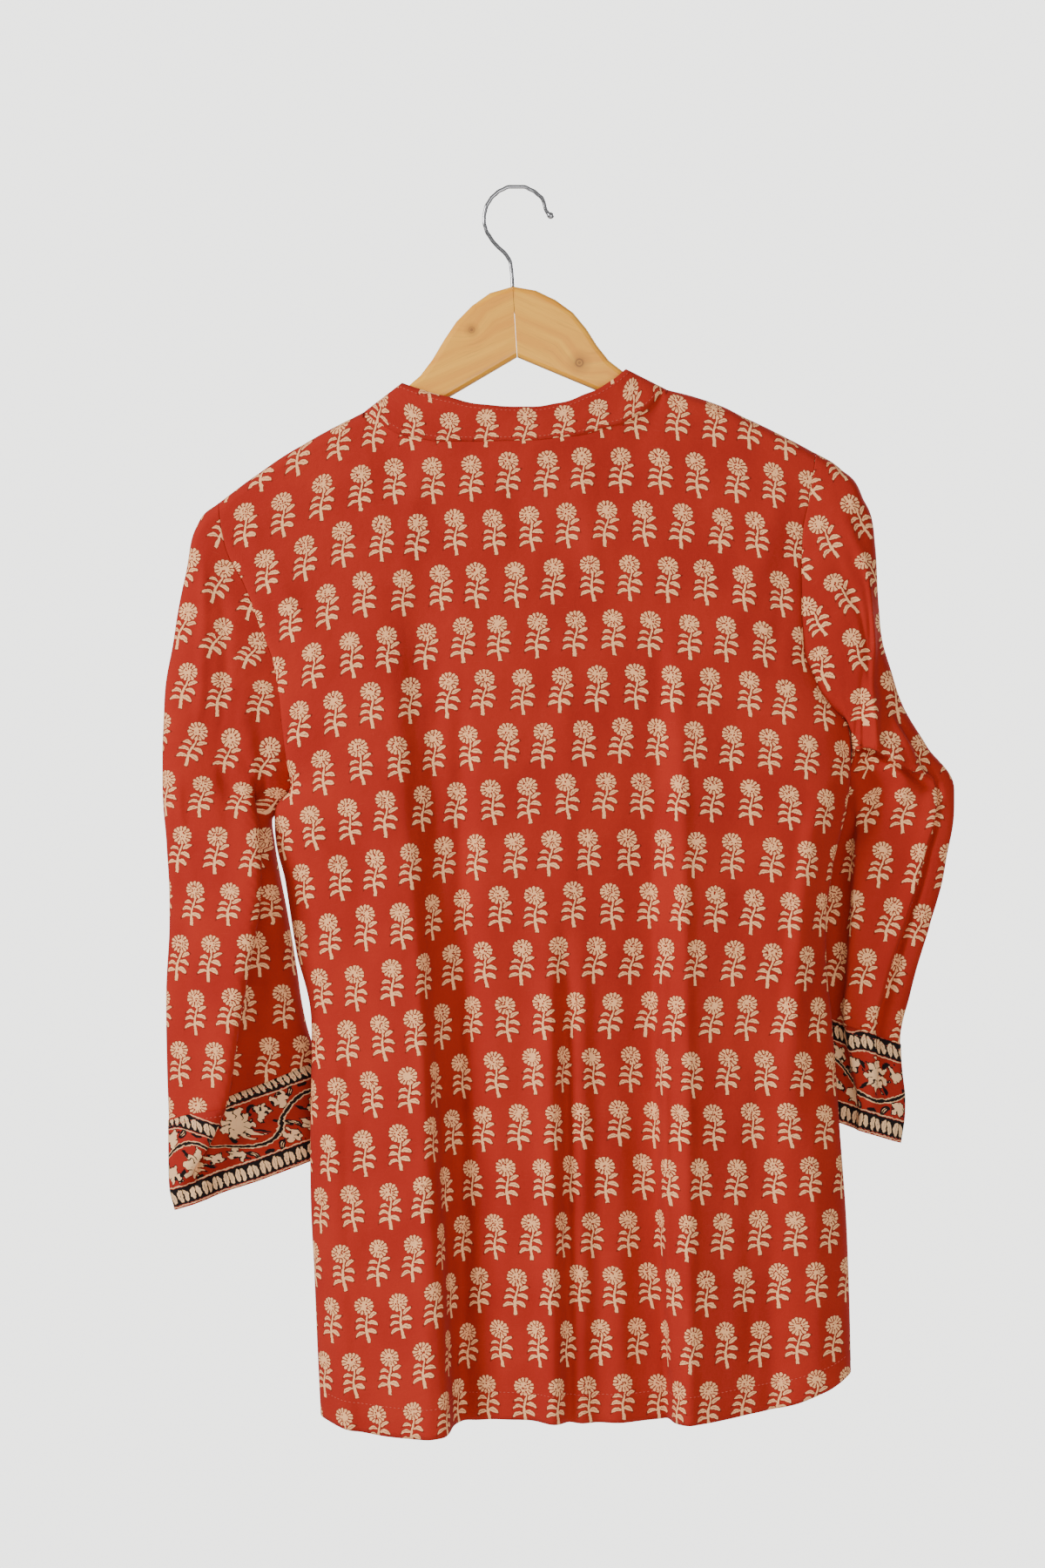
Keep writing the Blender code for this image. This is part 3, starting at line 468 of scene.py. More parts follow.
# Smaller folds and creases than the solids carry.  A crease runs from one place to another, bowed
# to one side; width is its half width and rise its height, negative for a trough.  Lap and drop
# push the crest over the hollow beside it, to +X and down.
Crease = namedtuple("Crease", "x0 z0 x1 z1 bow width rise lap drop", defaults=(0, 0))
BACK_CREASES = rows(
    Crease,
    (-188, -226, -120, -330, 10, 9, 1.5),       # drag lines below the left shoulder
    (-176, -236, -150, -360, 5, 7, -1.2),
    (186, -205, 128, -330, -8, 9, 1.4),         # and below the right one
    (190, -232, 172, -345, -3, 6, -1.2),
    (-60, -180, -78, -300, 4, 8, 1.2),          # from the collar's seam
    (40, -176, 52, -290, -4, 8, 1),
    (0, -182, 4, -262, 2, 7, -0.9),
    (-156, -412, -118, -470, 8, 7, 2),          # from the left armpit
    (-158, -420, -134, -540, 6, 6, -1.8),
    (-160, -440, -150, -560, 3, 5, 1.6),
    (226, -384, 196, -450, -8, 7, 2.6),         # from the right armpit
    (222, -392, 206, -520, -5, 5, -2.2),
    (228, -400, 214, -560, -4, 5, 2),
    (130, -437, 222, -444, 2, 3, 0.5),          # a press mark across
    (-44, -300, -40, -520, 3, 8, 1),
    (30, -290, 32, -540, -3, 7, 0.9),
    (64, -330, 62, -600, 2, 9, -1.1),
    (-104, -420, -100, -700, 4, 9, -1.3),
    (-112, -620, -106, -858, 3, 7, 1.6),
    (146, -470, 150, -850, -4, 9, 1.4),
    (166, -600, 163, -845, 3, 7, -1.3),
    (200, -640, 206, -832, -3, 8, 1.6),
    (6, -620, 8, -852, 2, 8, 1.5),
    (-20, -660, -18, -852, -2, 7, -1.3),
    (74, -640, 74, -850, 2, 8, 1.2),
    (22, -500, 26, -1000, 0, 8, 5.5),           # narrow folds in the middle
    (33, -500, 37, -1000, 0, 5.5, -6.5),
    (45, -500, 48, -1000, 0, 6, 4),
    (-38, -330, -32, -1000, 3, 7, -5),          # the long valleys, sharpened
    (-63, -300, -56, -1000, 3, 6, 2),
    (99, -290, 108, -1000, -2, 6, -5.5),
    (112, -330, 118, -1000, -2, 5, 2.5),
)
FRONT_CREASES = rows(
    Crease,
    (-186, -228, -118, -350, 10, 9, 1.6),
    (186, -205, 126, -340, -8, 9, 1.5),
    (-156, -414, -110, -480, 8, 7, 2),
    (228, -384, 190, -460, -8, 7, 2.2),
    (-96, -420, -90, -700, 4, 9, 1.6),
    (-66, -520, -60, -850, 4, 8, -1.4),
    (8, -560, 10, -848, 3, 10, 1.8),
    (70, -460, 74, -845, 3, 9, -1.5),
    (140, -430, 150, -840, -4, 10, 1.8),
    (180, -560, 188, -836, 3, 8, -1.4),
    (-118, -640, -110, -850, 3, 7, 1.4),
)
# On a sleeve x is the share across from its outer edge, z the share along, and the width and the
# bow are shares too.
SLEEVE_CREASES = {
    -1: rows(
        Crease,
        (0.10, 0.05, 0.34, 0.26, 0.02, 0.035, 1.6),
        (0.24, 0.04, 0.52, 0.22, 0.02, 0.035, -1.5),
        (0.55, 0.14, 0.86, 0.24, 0.02, 0.04, 1.8),
        (0.62, 0.24, 0.90, 0.32, 0.02, 0.035, 1.8),
        (0.50, 0.30, 0.84, 0.36, 0.01, 0.03, -1.6),
        (0.14, 0.34, 0.20, 0.62, 0.02, 0.04, 1.2),
        (0.10, 0.55, 0.16, 0.80, 0.01, 0.03, -1.2),
        (0.82, 0.19, -0.10, 1.02, 0.03, 0.034, 6, 15),                # edge of the overlying half
        (0.91, 0.17, -0.01, 1.02, 0.03, 0.042, -17),
    ),
    1: rows(
        Crease,
        (0.16, 0.04, 0.22, 0.30, 0.02, 0.04, 2),
        (0.34, 0.05, 0.42, 0.28, 0.02, 0.035, -1.5),
        (0.08, 0.26, 0.56, 0.40, 0.03, 0.035, 2.4),
        (0.10, 0.33, 0.60, 0.45, 0.03, 0.030, -2),
        (0.14, 0.40, 0.52, 0.50, 0.02, 0.030, 2.2),
        (0.66, 0.28, 0.92, 0.36, 0.01, 0.035, 2),
        (0.22, 0.36, 0.21, 0.98, 0.01, 0.028, 3, 5),                  # folded strip at the edge
        (0.14, 0.36, 0.15, 0.98, 0.01, 0.026, -4.5),
        (0.99, 0.24, 0.08, 0.465, 0.02, 0.013, 5, 0, 8),              # swag from the armpit
        (0.99, 0.27, 0.10, 0.495, 0.02, 0.013, -7),
    ),
}


SIDE_FADE = 16.0            # how fast the body's creases fade in from its sides, per width
TOP_FADE = 25.0             # and from its top, per length
RING_FADE = 5.0             # how fast a sleeve's creases fade in from its edges, per width
ARMHOLE_FADE = 12.0         # and from the armhole, per length


def crease_shape(creases, x, z, size="rise"):
    """Sum of one size of the creases at a place, soft at both ends."""
    total = np.zeros_like(x)
    for crease in creases:
        dx = crease.x1 - crease.x0
        dz = crease.z1 - crease.z0
        length = math.hypot(dx, dz)
        along = ((x - crease.x0) * dx + (z - crease.z0) * dz) / (length * length)
        inside = clamp(along)
        arch = 4.0 * inside * (1.0 - inside)
        across = ((x - crease.x0) * dz - (z - crease.z0) * dx) / length - crease.bow * arch
        total += (getattr(crease, size) * clamp(arch * 1.6)
                  * np.exp(-(across / crease.width) ** 2))
    return total


def hung_body(across, down, front):
    """The panel with its small creases, which stand off the middle plane."""
    place = body_place(across, down, front)
    fade = clamp(edge_share(across) * SIDE_FADE) * clamp(down * TOP_FADE)
    depth = crease_shape(FRONT_CREASES if front else BACK_CREASES, place[..., 0], place[..., 2])
    place[..., 1] += (1.0 if front else -1.0) * depth * fade
    return place


def hung_sleeve(side, around, along):
    """The sleeve sewn to its armhole; its two layers lie together and crease together."""
    around = np.asarray(around, float)
    along = np.asarray(along, float)
    place = seamed_sleeve(side, around, along)
    share = ring_share(around)
    fade = clamp(RING_FADE * edge_share(share)) * clamp(along * ARMHOLE_FADE)
    for axis, way, size in ((0, 1.0, "lap"), (1, -1.0, "rise"), (2, -1.0, "drop")):
        place[..., axis] += way * crease_shape(SLEEVE_CREASES[side], share, along, size) * fade
    return place


def cuff_place(side, around, along):
    """The border strip lies just outside the sleeve's end."""
    place = hung_sleeve(side, around, along)
    middle = 0.5 * (hung_sleeve(side, np.zeros_like(around), along)
                    + hung_sleeve(side, np.full_like(around, 0.5), along))
    return place + CUFF_STEP * unit(place - middle)


# Where the prints lie

# How far the print's rows hang below level, at the shoulders and at the hem.
RowLine = namedtuple("RowLine", "x top hem")
ROW_LINES = rows(RowLine, (-240, 60, 30), (-162, 31, 26), (-87, 9, 18), (-10, 5, 1), (68, 0, 0),
                 (118, 3, 1), (191, 15, -2), (240, 30, -4))
ROWS_START = 200.0          # depth from which the rows change to the hem's, and over how much
ROWS_FALL = 560.0
GRAIN_START = (-1.0, -175.0)    # a place on the print's middle line
GRAIN_LEAN = 0.066          # the middle line swings this much to +X for each step down
COLLAR_PRINT = -16.25       # where the collar's foot lies in the print's rows

# The grain of each sleeve, as a line that the print follows down from the shoulder
GRAIN_LINES = {
    -1: ((-165, -200), (-207, -280), (-232, -365), (-244, -445), (-247, -540), (-246, -640),
         (-245, -740)),
    1: ((165, -222), (205, -275), (238, -328), (254, -385), (253, -445), (243, -520),
        (231, -600), (219, -690)),
}


def path_length(points, axis):
    """Distance run along one direction of a grid of points."""
    run = np.cumsum(np.linalg.norm(np.diff(points, axis=axis), axis=-1), axis=axis)
    pad = [(0, 0), (0, 0)]
    pad[axis] = (1, 0)
    return np.pad(run, pad)


def from_middle(run):
    """Distances counted from the middle column of a grid."""
    middle = run.shape[1] // 2
    return run - run[:, middle:middle + 1]


def up_from_foot(points):
    down = path_length(points, 0)
    return down[-1:, :] - down


def body_print(points, front):
    """Cloth coordinates of a panel, measured along the cloth from its middle line."""
    run = path_length(points[..., :2], 1)
    x, _, z = np.moveaxis(points, -1, 0)
    aside = x - (GRAIN_LEAN * (GRAIN_START[1] - z) + GRAIN_START[0])
    across = np.stack([r - np.interp(0.0, row, r) for r, row in zip(run, aside)])
    stops = column(ROW_LINES, "x")
    top, hem = (through(stops, column(ROW_LINES, name), x) for name in ("top", "hem"))
    up = z + between(top, hem, clamp((-z - ROWS_START) / ROWS_FALL))
    return np.stack([-across if front else across, up], axis=-1)


def border_print(points, side):
    """Cloth coordinates of a border strip, across from its outer edge and up from its end."""
    return np.stack([-side * from_middle(path_length(points, 1)), up_from_foot(points)], axis=-1)


def along_grain(points, side):
    """Distance of each point across and down the sleeve's grain line."""
    line = np.array(GRAIN_LINES[side], float)
    stops = length_along(line)
    run = np.linspace(0.0, stops[-1], 400)
    spots = np.stack([through(stops, line[:, k], run) for k in (0, 1)], axis=-1)
    heading = unit(np.gradient(spots, axis=0))
    flat = points[..., (0, 2)].reshape(-1, 1, 2) - spots
    near = np.argmin(np.sum(flat ** 2, axis=-1), axis=1)
    away = flat[np.arange(len(near)), near]
    down = run[near] + np.sum(away * heading[near], axis=-1)
    across = away[:, 1] * heading[near, 0] - away[:, 0] * heading[near, 1]
    return across.reshape(points.shape[:2]), down.reshape(points.shape[:2])


def sleeve_print(points, side):
    """Cloth coordinates of a sleeve, wrapped round its outer edge and up along its grain."""
    across, down = along_grain(points, side)
    folded = path_length(points, 1) - path_length(points[..., (0, 2)], 1)
    across = across - side * np.abs(from_middle(folded))
    middle = points.shape[1] // 2
    across[:, :middle] = 2.0 * across[:, middle:middle + 1] - across[:, :middle]
    return np.stack([across, -down], axis=-1)


def collar_print(points):
    """Cloth coordinates of the collar, along from its middle and up from its foot."""
    across = from_middle(path_length(points, 1))
    return np.stack([across, up_from_foot(points) + COLLAR_PRINT], axis=-1)


# Making cloth

def in_scene(name, data):
    thing = bpy.data.objects.new(name, data)
    bpy.context.collection.objects.link(thing)
    return thing


def finished(sheet, name, material):
    """An object in the scene from a bmesh, which is freed."""
    if not len(sheet.faces):
        raise RuntimeError(name + " came out empty")
    mesh = bpy.data.meshes.new(name)
    sheet.to_mesh(mesh)
    sheet.free()
    mesh.shade_smooth()
    mesh.materials.append(material_of(material))
    return in_scene(name, mesh)


def cloth_shell(name, columns, rows_down, place, print_place, thickness, material, closed=False,
                slit=None):
    """A grid of cloth placed by a function, with its print coordinates and a thin wall."""
    points = place(*np.meshgrid(columns, rows_down))
    printed = print_place(points).reshape(-1, 2)
    sheet = bmesh.new()
    bmesh.ops.create_grid(sheet, x_segments=len(columns) - 1, y_segments=len(rows_down) - 1,
                          size=1.0)
    for vertex, point in zip(sheet.verts, points.reshape(-1, 3)):
        vertex.co = point * MM
    layer = sheet.loops.layers.uv.new("cloth")
    for face in sheet.faces:
        for loop in face.loops:
            loop[layer].uv = printed[loop.vert.index]
    if slit:
        open_slit(sheet, slit, len(columns))
    if closed:
        bmesh.ops.remove_doubles(sheet, verts=sheet.verts[:], dist=0.000005)
    bmesh.ops.recalc_face_normals(sheet, faces=sheet.faces[:])
    thing = finished(sheet, name, material)
    wall = thing.modifiers.new("Wall", 'SOLIDIFY')
    wall.thickness = thickness * MM
    wall.offset = 0.0
    wall.use_quality_normals = True
    return thing


def even(count, *more):
    """Shares from 0 to 1, with some more between them."""
    return np.array(sorted(set(np.round(np.linspace(0.0, 1.0, count + 1), 6)) | set(more)))


def open_slit(sheet, column_number, row_length):
    """Part a sheet below the neck along one column, as a narrow wedge."""
    sheet.verts.ensure_lookup_table()
    top = sheet.verts[column_number].co.z
    foot = top - SLIT_LENGTH * MM
    line = {v for v in sheet.verts if v.index % row_length == column_number and v.co.z >= foot}
    lowest = min(v.co.z for v in line)
    edges = [e for e in sheet.edges if all(v in line for v in e.verts)]
    heights = {round(v.co.z, 7): v.co.x for v in line}
    bmesh.ops.split_edges(sheet, edges=edges)
    for vertex in sheet.verts:
        x = heights.get(round(vertex.co.z, 7))
        if x is None or not vertex.is_boundary or abs(vertex.co.x - x) > 0.00001:
            continue
        side = sum(f.calc_center_median().x - vertex.co.x for f in vertex.link_faces)
        wide = 0.5 * SLIT_WIDTH * MM * (vertex.co.z - lowest) / (top - lowest)
        vertex.co.x += math.copysign(wide, side)


def panel_rows(count):
    return even(count, 0.0015, 0.003, 0.0055, 0.0085, 0.012, 0.016, 0.021, 0.027, 0.035, 0.045)


def panel_columns(count):
    """Divisions across a panel, closer at its sides and at the ends of the neck."""
    start = BODY_LEVELS[0].left_x
    width = BODY_LEVELS[0].right_x - start
    close = [0.001, 0.003, 0.006, 0.010, 0.016, 0.024, 0.034]
    more = close + [1.0 - share for share in close]
    for corner, inward in ((NECK_LEFT, 1.0), (NECK_RIGHT, -1.0)):
        more += [(corner[0] - start) / width + inward * step / width
                 for step in (0.0, 0.5, 1.5, 3.0, 5.0, 8.0)]
    return even(count, *more)


def declare(thing, node):
    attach(thing, ROOT)
    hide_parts(node)


# Materials

def linear(colour):
    """A linear RGBA colour from an sRGB hex number such as "C03424"."""
    channels = [int(colour[i:i + 2], 16) / 255.0 for i in (0, 2, 4)]
    bent = [c / 12.92 if c <= 0.04045 else ((c + 0.055) / 1.055) ** 2.4 for c in channels]
    return (*bent, 1.0)


def add(tree, kind, *inputs, out=0, **named):
    """Add a node and return one of its outputs.

    The kind's second word is its operation.  Inputs are set or linked in order, or by names that
    start with a capital; the other names are the node's settings.
    """
    kind, *operation = kind.split()
    made = tree.nodes.new("ShaderNode" + kind)
    if operation:
        made.operation = operation[0]
    sockets = dict(enumerate(inputs))
    for name, value in named.items():
        if name[0].isupper():
            sockets[name] = value
        else:
            setattr(made, name, value)
    for socket, value in sockets.items():
        if isinstance(value, bpy.types.NodeSocket):
            tree.links.new(value, made.inputs[socket])
        else:
            made.inputs[socket].default_value = value
    return made.outputs[out]


def new_group(name, build, inputs, outputs):
    """A node group, from the function that lays its nodes and the kinds of its sockets."""
    tree = bpy.data.node_groups.new(name, 'ShaderNodeTree')
    for way, sockets in (('INPUT', inputs), ('OUTPUT', outputs)):
        for label, kind in sockets.items():
            tree.interface.new_socket(label, in_out=way, socket_type="NodeSocket" + kind)
    start = tree.nodes.new("NodeGroupInput")
    end = tree.nodes.new("NodeGroupOutput")
    made = build(partial(add, tree), *start.outputs[:len(inputs)])
    for value, socket in zip(made, end.inputs):
        tree.links.new(value, socket)


# A leaf of a print: its middle, the way it points in degrees, half length and half width, how
# much its tip droops, and whether it is printed solid black.  Millimetres within its repeat.
Leaf = namedtuple("Leaf", "x y turn half_long half_wide droop black", defaults=(-0.05, False))
FLOWER_LEAVES = rows(
    Leaf, (-3.8, 1.4, 184, 3.7, 1.3, -0.13), (-4.3, -3.2, 188, 4.0, 1.4, -0.12),
    (-4.5, -8.4, 202, 4.2, 1.4, -0.09), (5.2, 4.0, 33, 3.9, 1.45, 0.05),
    (5.4, -1.2, -10, 4.2, 1.6, 0.08), (4.4, -6.8, -16, 4.0, 1.8, 0.07),
)
HEAD = (-0.3, 10.3)         # middle of the flower's head
HEAD_HALF = (6.9, 6.2)
HEAD_LOBES = 14.0
PRINT_EDGE = 0.17           # half width of the dark line round a printed shape
VEIN = -0.03                # distance at a leaf's vein, near enough to its edge to stay dark
VEIN_REACH = 0.55           # share of a leaf's length that its vein takes
SLIT_RING = 0.80            # where the slits between lobes lie, as a share of a bloom's radius
SLIT_REACH = 0.26           # half their length
CELL = (26.0, 37.5)         # pitch of the flowers across and down
CELL_START = (7.0, 28.75)
STRAY = (2.2, 2.4, 0.0)     # how far a flower may lie from the middle of its cell
LEAN = (0.2, 0.1)           # how much its lean varies, and what all lean by, in radians
SPECK_RADIUS = 0.30         # of the specks in the heart of a head, in their own cells
HEART = 0.56                # share of the head's radius that holds them
STEM_MIDDLE = -4.7          # height of the stem's middle, and half its length
STEM_HALF = 10.6
LINE_BLUR = 0.15            # how softly a printed line and the paste end
PASTE_BLUR = 0.08
THREAD_PITCH = 0.42         # of the weave, at its real size
MIDDLE_GREY = (0.5, 0.5, 0.5)   # what a colour noise has as its mean


def leaf_distance(node, point, middle, turn, half, droop):
    """Distance from a point to a leaf with a dark vein; negative inside."""
    moved = node("VectorMath SUBTRACT", point, middle)
    turned = node("VectorRotate", moved, Angle=turn, rotation_type='Z_AXIS')
    x, aside = node("SeparateXYZ", turned).node.outputs[:2]
    half_long, half_wide = node("SeparateXYZ", half).node.outputs[:2]
    y = node("Math MULTIPLY_ADD", node("Math MULTIPLY", x, x), droop, aside)
    flat = node("CombineXYZ", x, y, 0.0)
    size = node("CombineXYZ", half_long, half_wide, 1.0)
    radius = node("VectorMath LENGTH", node("VectorMath DIVIDE", flat, size), out=1)
    edge = node("Math MULTIPLY", node("Math SUBTRACT", radius, 1.0), half_wide)
    vein_side = node("Math SUBTRACT", VEIN, node("Math ABSOLUTE", y))
    reach = node("Math MULTIPLY", half_long, VEIN_REACH)
    vein_end = node("Math SUBTRACT", reach, node("Math ABSOLUTE", x))
    vein = node("Math MINIMUM", vein_side, vein_end)
    return [node("Math MAXIMUM", edge, vein)]


def bloom_distance(node, point, middle, half, lobes, depth, turn, slit):
    """Distance from a point to a lobed flower with dark slits, negative inside, and its radius."""
    moved = node("VectorMath SUBTRACT", point, middle)
    x, y = node("SeparateXYZ", node("VectorMath DIVIDE", moved, half)).node.outputs[:2]
    radius = node("VectorMath LENGTH", node("CombineXYZ", x, y, 0.0), out=1)
    half_high = node("SeparateXYZ", half, out=1)
    angle = node("Math ADD", node("Math ARCTAN2", y, x), turn)
    wave_at = node("Math MULTIPLY", angle, lobes)
    rim = node("Math MULTIPLY_ADD", node("Math COSINE", wave_at), depth, 1.0)
    edge = node("Math MULTIPLY", node("Math SUBTRACT", radius, rim), half_high)
    between_lobes = node("Math COSINE", node("Math MULTIPLY", wave_at, 0.5))
    wide = node("Math MULTIPLY", node("Math ABSOLUTE", between_lobes), radius)
    per_lobe = node("Math DIVIDE", node("Math MULTIPLY", wide, half_high), lobes)
    slit_side = node("Math SUBTRACT", slit, node("Math MULTIPLY", per_lobe, 2.0))
    ring = node("Math ABSOLUTE", node("Math SUBTRACT", radius, SLIT_RING))
    slit_end = node("Math MULTIPLY", node("Math SUBTRACT", SLIT_REACH, ring), half_high)
    parted = node("Math MINIMUM", slit_side, slit_end)
    return [node("Math MAXIMUM", edge, parted), radius]


def shaken(node, point, place, size, scale, detail):
    """A point moved by a noise, across and up."""
    noise = node("TexNoise", place, Scale=scale, Detail=detail, out=1)
    centred = node("VectorMath SUBTRACT", noise, MIDDLE_GREY)
    return node("VectorMath MULTIPLY_ADD", centred, (size, size, 0.0), point)


def cloth_point(node, wobble):
    """The print's place in millimetres, without and with the wobble of a hand-cut block."""
    place = node("UVMap", uv_map="cloth")
    return place, shaken(node, place, place, wobble, 0.42, 2.0)


def streaks(node, place, per_mm, detail=2.0, **more):
    """A noise drawn out along the axes that have a small scale."""
    scaled = node("VectorMath MULTIPLY", place, per_mm)
    return node("TexNoise", scaled, Scale=1.0, Detail=detail, **more)


def repeat(node, distance, pitch):
    """The number of a repeat, and the distance run into it."""
    number = node("Math FLOOR", node("Math DIVIDE", distance, pitch))
    return number, node("Math FLOORED_MODULO", distance, pitch)


def union(node, distances):
    """The nearest of several distances."""
    return reduce(lambda nearest, distance: node("Math MINIMUM", nearest, distance), distances)


def leaf_shapes(node, point, leaves):
    """Distance to each of some leaves."""
    tree = bpy.data.node_groups["Leaf distance"]
    return [node("Group", point, (leaf.x, leaf.y, 0.0), -math.radians(leaf.turn),
                 (leaf.half_long, leaf.half_wide, 1.0), leaf.droop, node_tree=tree)
            for leaf in leaves]


def flower_distance(node, moved):
    """Distance to the nearest printed flower of the repeat."""
    x, y = node("SeparateXYZ", moved).node.outputs[:2]
    row, y = repeat(node, node("Math ADD", y, CELL_START[1]), CELL[1])
    odd = node("Math FLOORED_MODULO", row, 2.0)
    half_step = node("Math MULTIPLY_ADD", odd, 0.5 * CELL[0], CELL_START[0])
    number, x = repeat(node, node("Math ADD", x, half_step), CELL[0])
    chance = node("TexWhiteNoise", node("CombineXYZ", number, row, 0.0), out=1,
                  noise_dimensions='2D')
    spread = node("VectorMath SUBTRACT", chance, MIDDLE_GREY)
    offset = node("VectorMath MULTIPLY", spread, STRAY)
    middle = node("VectorMath SUBTRACT", node("CombineXYZ", x, y, 0.0),
                  (0.5 * CELL[0], 0.5 * CELL[1], 0.0))
    placed = node("VectorMath SUBTRACT", middle, offset)
    lean = node("Math MULTIPLY_ADD", node("SeparateXYZ", spread, out=2), *LEAN)
    point = node("VectorRotate", placed, Angle=lean, rotation_type='Z_AXIS')
    shapes = leaf_shapes(node, point, FLOWER_LEAVES)

    turn = node("Math MULTIPLY", node("SeparateXYZ", chance), 6.0)
    head = node("Group", point, (*HEAD, 0.0), (*HEAD_HALF, 1.0), HEAD_LOBES, 0.05, turn, 0.15,
                node_tree=bpy.data.node_groups["Bloom distance"])
    specks = node("TexVoronoi", moved, Scale=0.62, Randomness=1.0)
    speck = node("Math MULTIPLY", node("Math SUBTRACT", SPECK_RADIUS, specks), 2.0)
    inner = node("Math SUBTRACT", HEART, head.node.outputs[1])
    speck_in = node("Math MINIMUM", speck, node("Math MULTIPLY", inner, 6.0))
    shapes.append(node("Math MAXIMUM", head, speck_in))

    x, y = node("SeparateXYZ", point).node.outputs[:2]
    wave = node("Math SINE", node("Math MULTIPLY", y, 0.30))
    stem = node("Math SUBTRACT", x, node("Math MULTIPLY_ADD", wave, 0.7, 0.7))
    width = node("MapRange", y, -15.5, 6.0, 1.4, 0.6)
    side = node("Math SUBTRACT", node("Math ABSOLUTE", stem), width)
    off = node("Math ABSOLUTE", node("Math ADD", y, -STEM_MIDDLE))
    ends = node("Math SUBTRACT", off, STEM_HALF)
    shapes.append(node("Math MAXIMUM", side, ends))
    return union(node, shapes)


def printed_colour(node, distance, place, ground, edge, paste, half_line=PRINT_EDGE, share=0.6):
    """Colour of a printed shape: ground outside, a dark line at its edge and the paste inside."""
    patchy = node("TexNoise", place, Scale=1.1, Detail=3.0, Roughness=0.6)
    worn = node("Math ADD", distance, node("Math MULTIPLY_ADD", patchy, 0.7, -0.35))
    line = node("MapRange", worn, half_line, half_line + LINE_BLUR, 1.0, 0.0)
    inside = node("MapRange", worn, PASTE_BLUR - half_line, -PASTE_BLUR - half_line, 0.0, 1.0)
    lined = node("MixRGB", node("Math MULTIPLY", line, share), ground, edge)
    thin = node("MapRange", patchy, 0.5, 0.75, 0.0, 0.45)
    return node("MixRGB", inside, lined, node("MixRGB", thin, paste, linear("EC9460")))


def dyed_ground(node, place, *colours):
    """Uneven madder dye: a red, its darker or paler cloud and its thin streaks."""
    blotch = node("TexNoise", place, Scale=0.018, Detail=3.0)
    share = node("MapRange", blotch, 0.35, 0.65, 0.0, 1.0)
    wide = node("MixRGB", share, linear(colours[0]), linear(colours[1]))
    thin = node("MapRange", streaks(node, place, (0.10, 1.3, 1.0)), 0.62, 0.78, 0.0, 0.22)
    return node("MixRGB", thin, wide, linear(colours[2]))


def cloth_bump(node, place):
    """Weave at its own pitch, slubs along the threads and soft handling creases."""
    weave = []
    for turn in ((1.0, 0.0, 0.0), (0.0, 1.0, 0.0)):
        along = node("VectorMath DOT_PRODUCT", place, turn, out=1)
        thread = node("Math MULTIPLY", along, 2.0 * math.pi / THREAD_PITCH)
        weave.append(node("Math SINE", thread))
    crossed = node("Math MULTIPLY", *weave)
    slubs = [streaks(node, place, per_mm) for per_mm in ((0.12, 1.5, 1.0), (1.7, 0.10, 1.0))]
    handled = node("TexNoise", place, Scale=0.035, Detail=4.0, Roughness=0.55)
    woven = node("Math MULTIPLY_ADD", crossed, 0.03, slubs[0])
    fine = node("Bump", Strength=0.35, Distance=0.00012,
                Height=node("Math ADD", slubs[1], woven))
    return node("Bump", Strength=0.45, Distance=0.0035, Height=handled, Normal=fine)


def printed_cotton(node):
    """Plain-woven cotton, madder red and resist-printed: matt and slubbed, ragged in its print."""
    place, moved = cloth_point(node, 1.6)
    ground = dyed_ground(node, place, "A0241A", "AA2A1D", "B84632")
    colour = printed_colour(node, flower_distance(node, moved), moved, ground,
                            linear("5A1A10"), linear("FFBC84"))
    return {"Base Color": colour, "Normal": cloth_bump(node, place)}


# Flowers and leaves of the border in half a repeat of its vine; the other half is its mirror.
# Up is measured from the middle of the border.
Bloom = namedtuple("Bloom", "x y half lobes depth turn")
BORDER_BLOOMS = rows(
    Bloom, (27.5, -6.5, 11.0, 9, 0.20, 0.4), (6.5, 12.5, 5.4, 3, 0.30, 1.2),
    (46.5, 13.5, 5.2, 4, 0.26, -0.8), (7.5, -11.5, 5.0, 4, 0.26, 0.2),
    (46.5, -10.5, 5.0, 3, 0.30, 2.2),
)
BORDER_LEAVES = rows(
    Leaf, (14.5, -11.5, 60, 3.2, 1.3, -0.05, True), (39.5, -15.0, -40, 3.4, 1.3, -0.05, True),
    (37.5, 3.0, 60, 3.2, 1.2, -0.05, True), (17.0, 3.2, 130, 3.2, 1.2, -0.05, True),
    (26.0, 18.2, 0, 3.4, 1.3, -0.05, True), (28.0, -19.0, 10, 3.0, 1.2, -0.05, True),
    (16.0, 16.8, 55, 3.4, 1.5), (36.5, 16.6, -50, 3.4, 1.5), (53.0, 2.5, 75, 3.4, 1.6),
    (1.6, -5.0, 110, 3.4, 1.6),
)
VINE_REPEAT = 110.0
VINE_RISE = 12.0
LADDER_PITCH = 9.0
LADDER_SLANT = 0.22
LADDER_BEAN = Leaf(2.4, 0.0, 78.0, 5.0, 1.9, 0.035)
LADDER_ARCH = Leaf(6.6, -0.4, 90.0, 4.6, 1.75, -0.03)
LADDER_HALF = 6.0           # half height of a ladder band
LADDER_LOW = 8.2            # middle of the lower band, up from the sleeve's end
LADDER_HIGH = 62.8


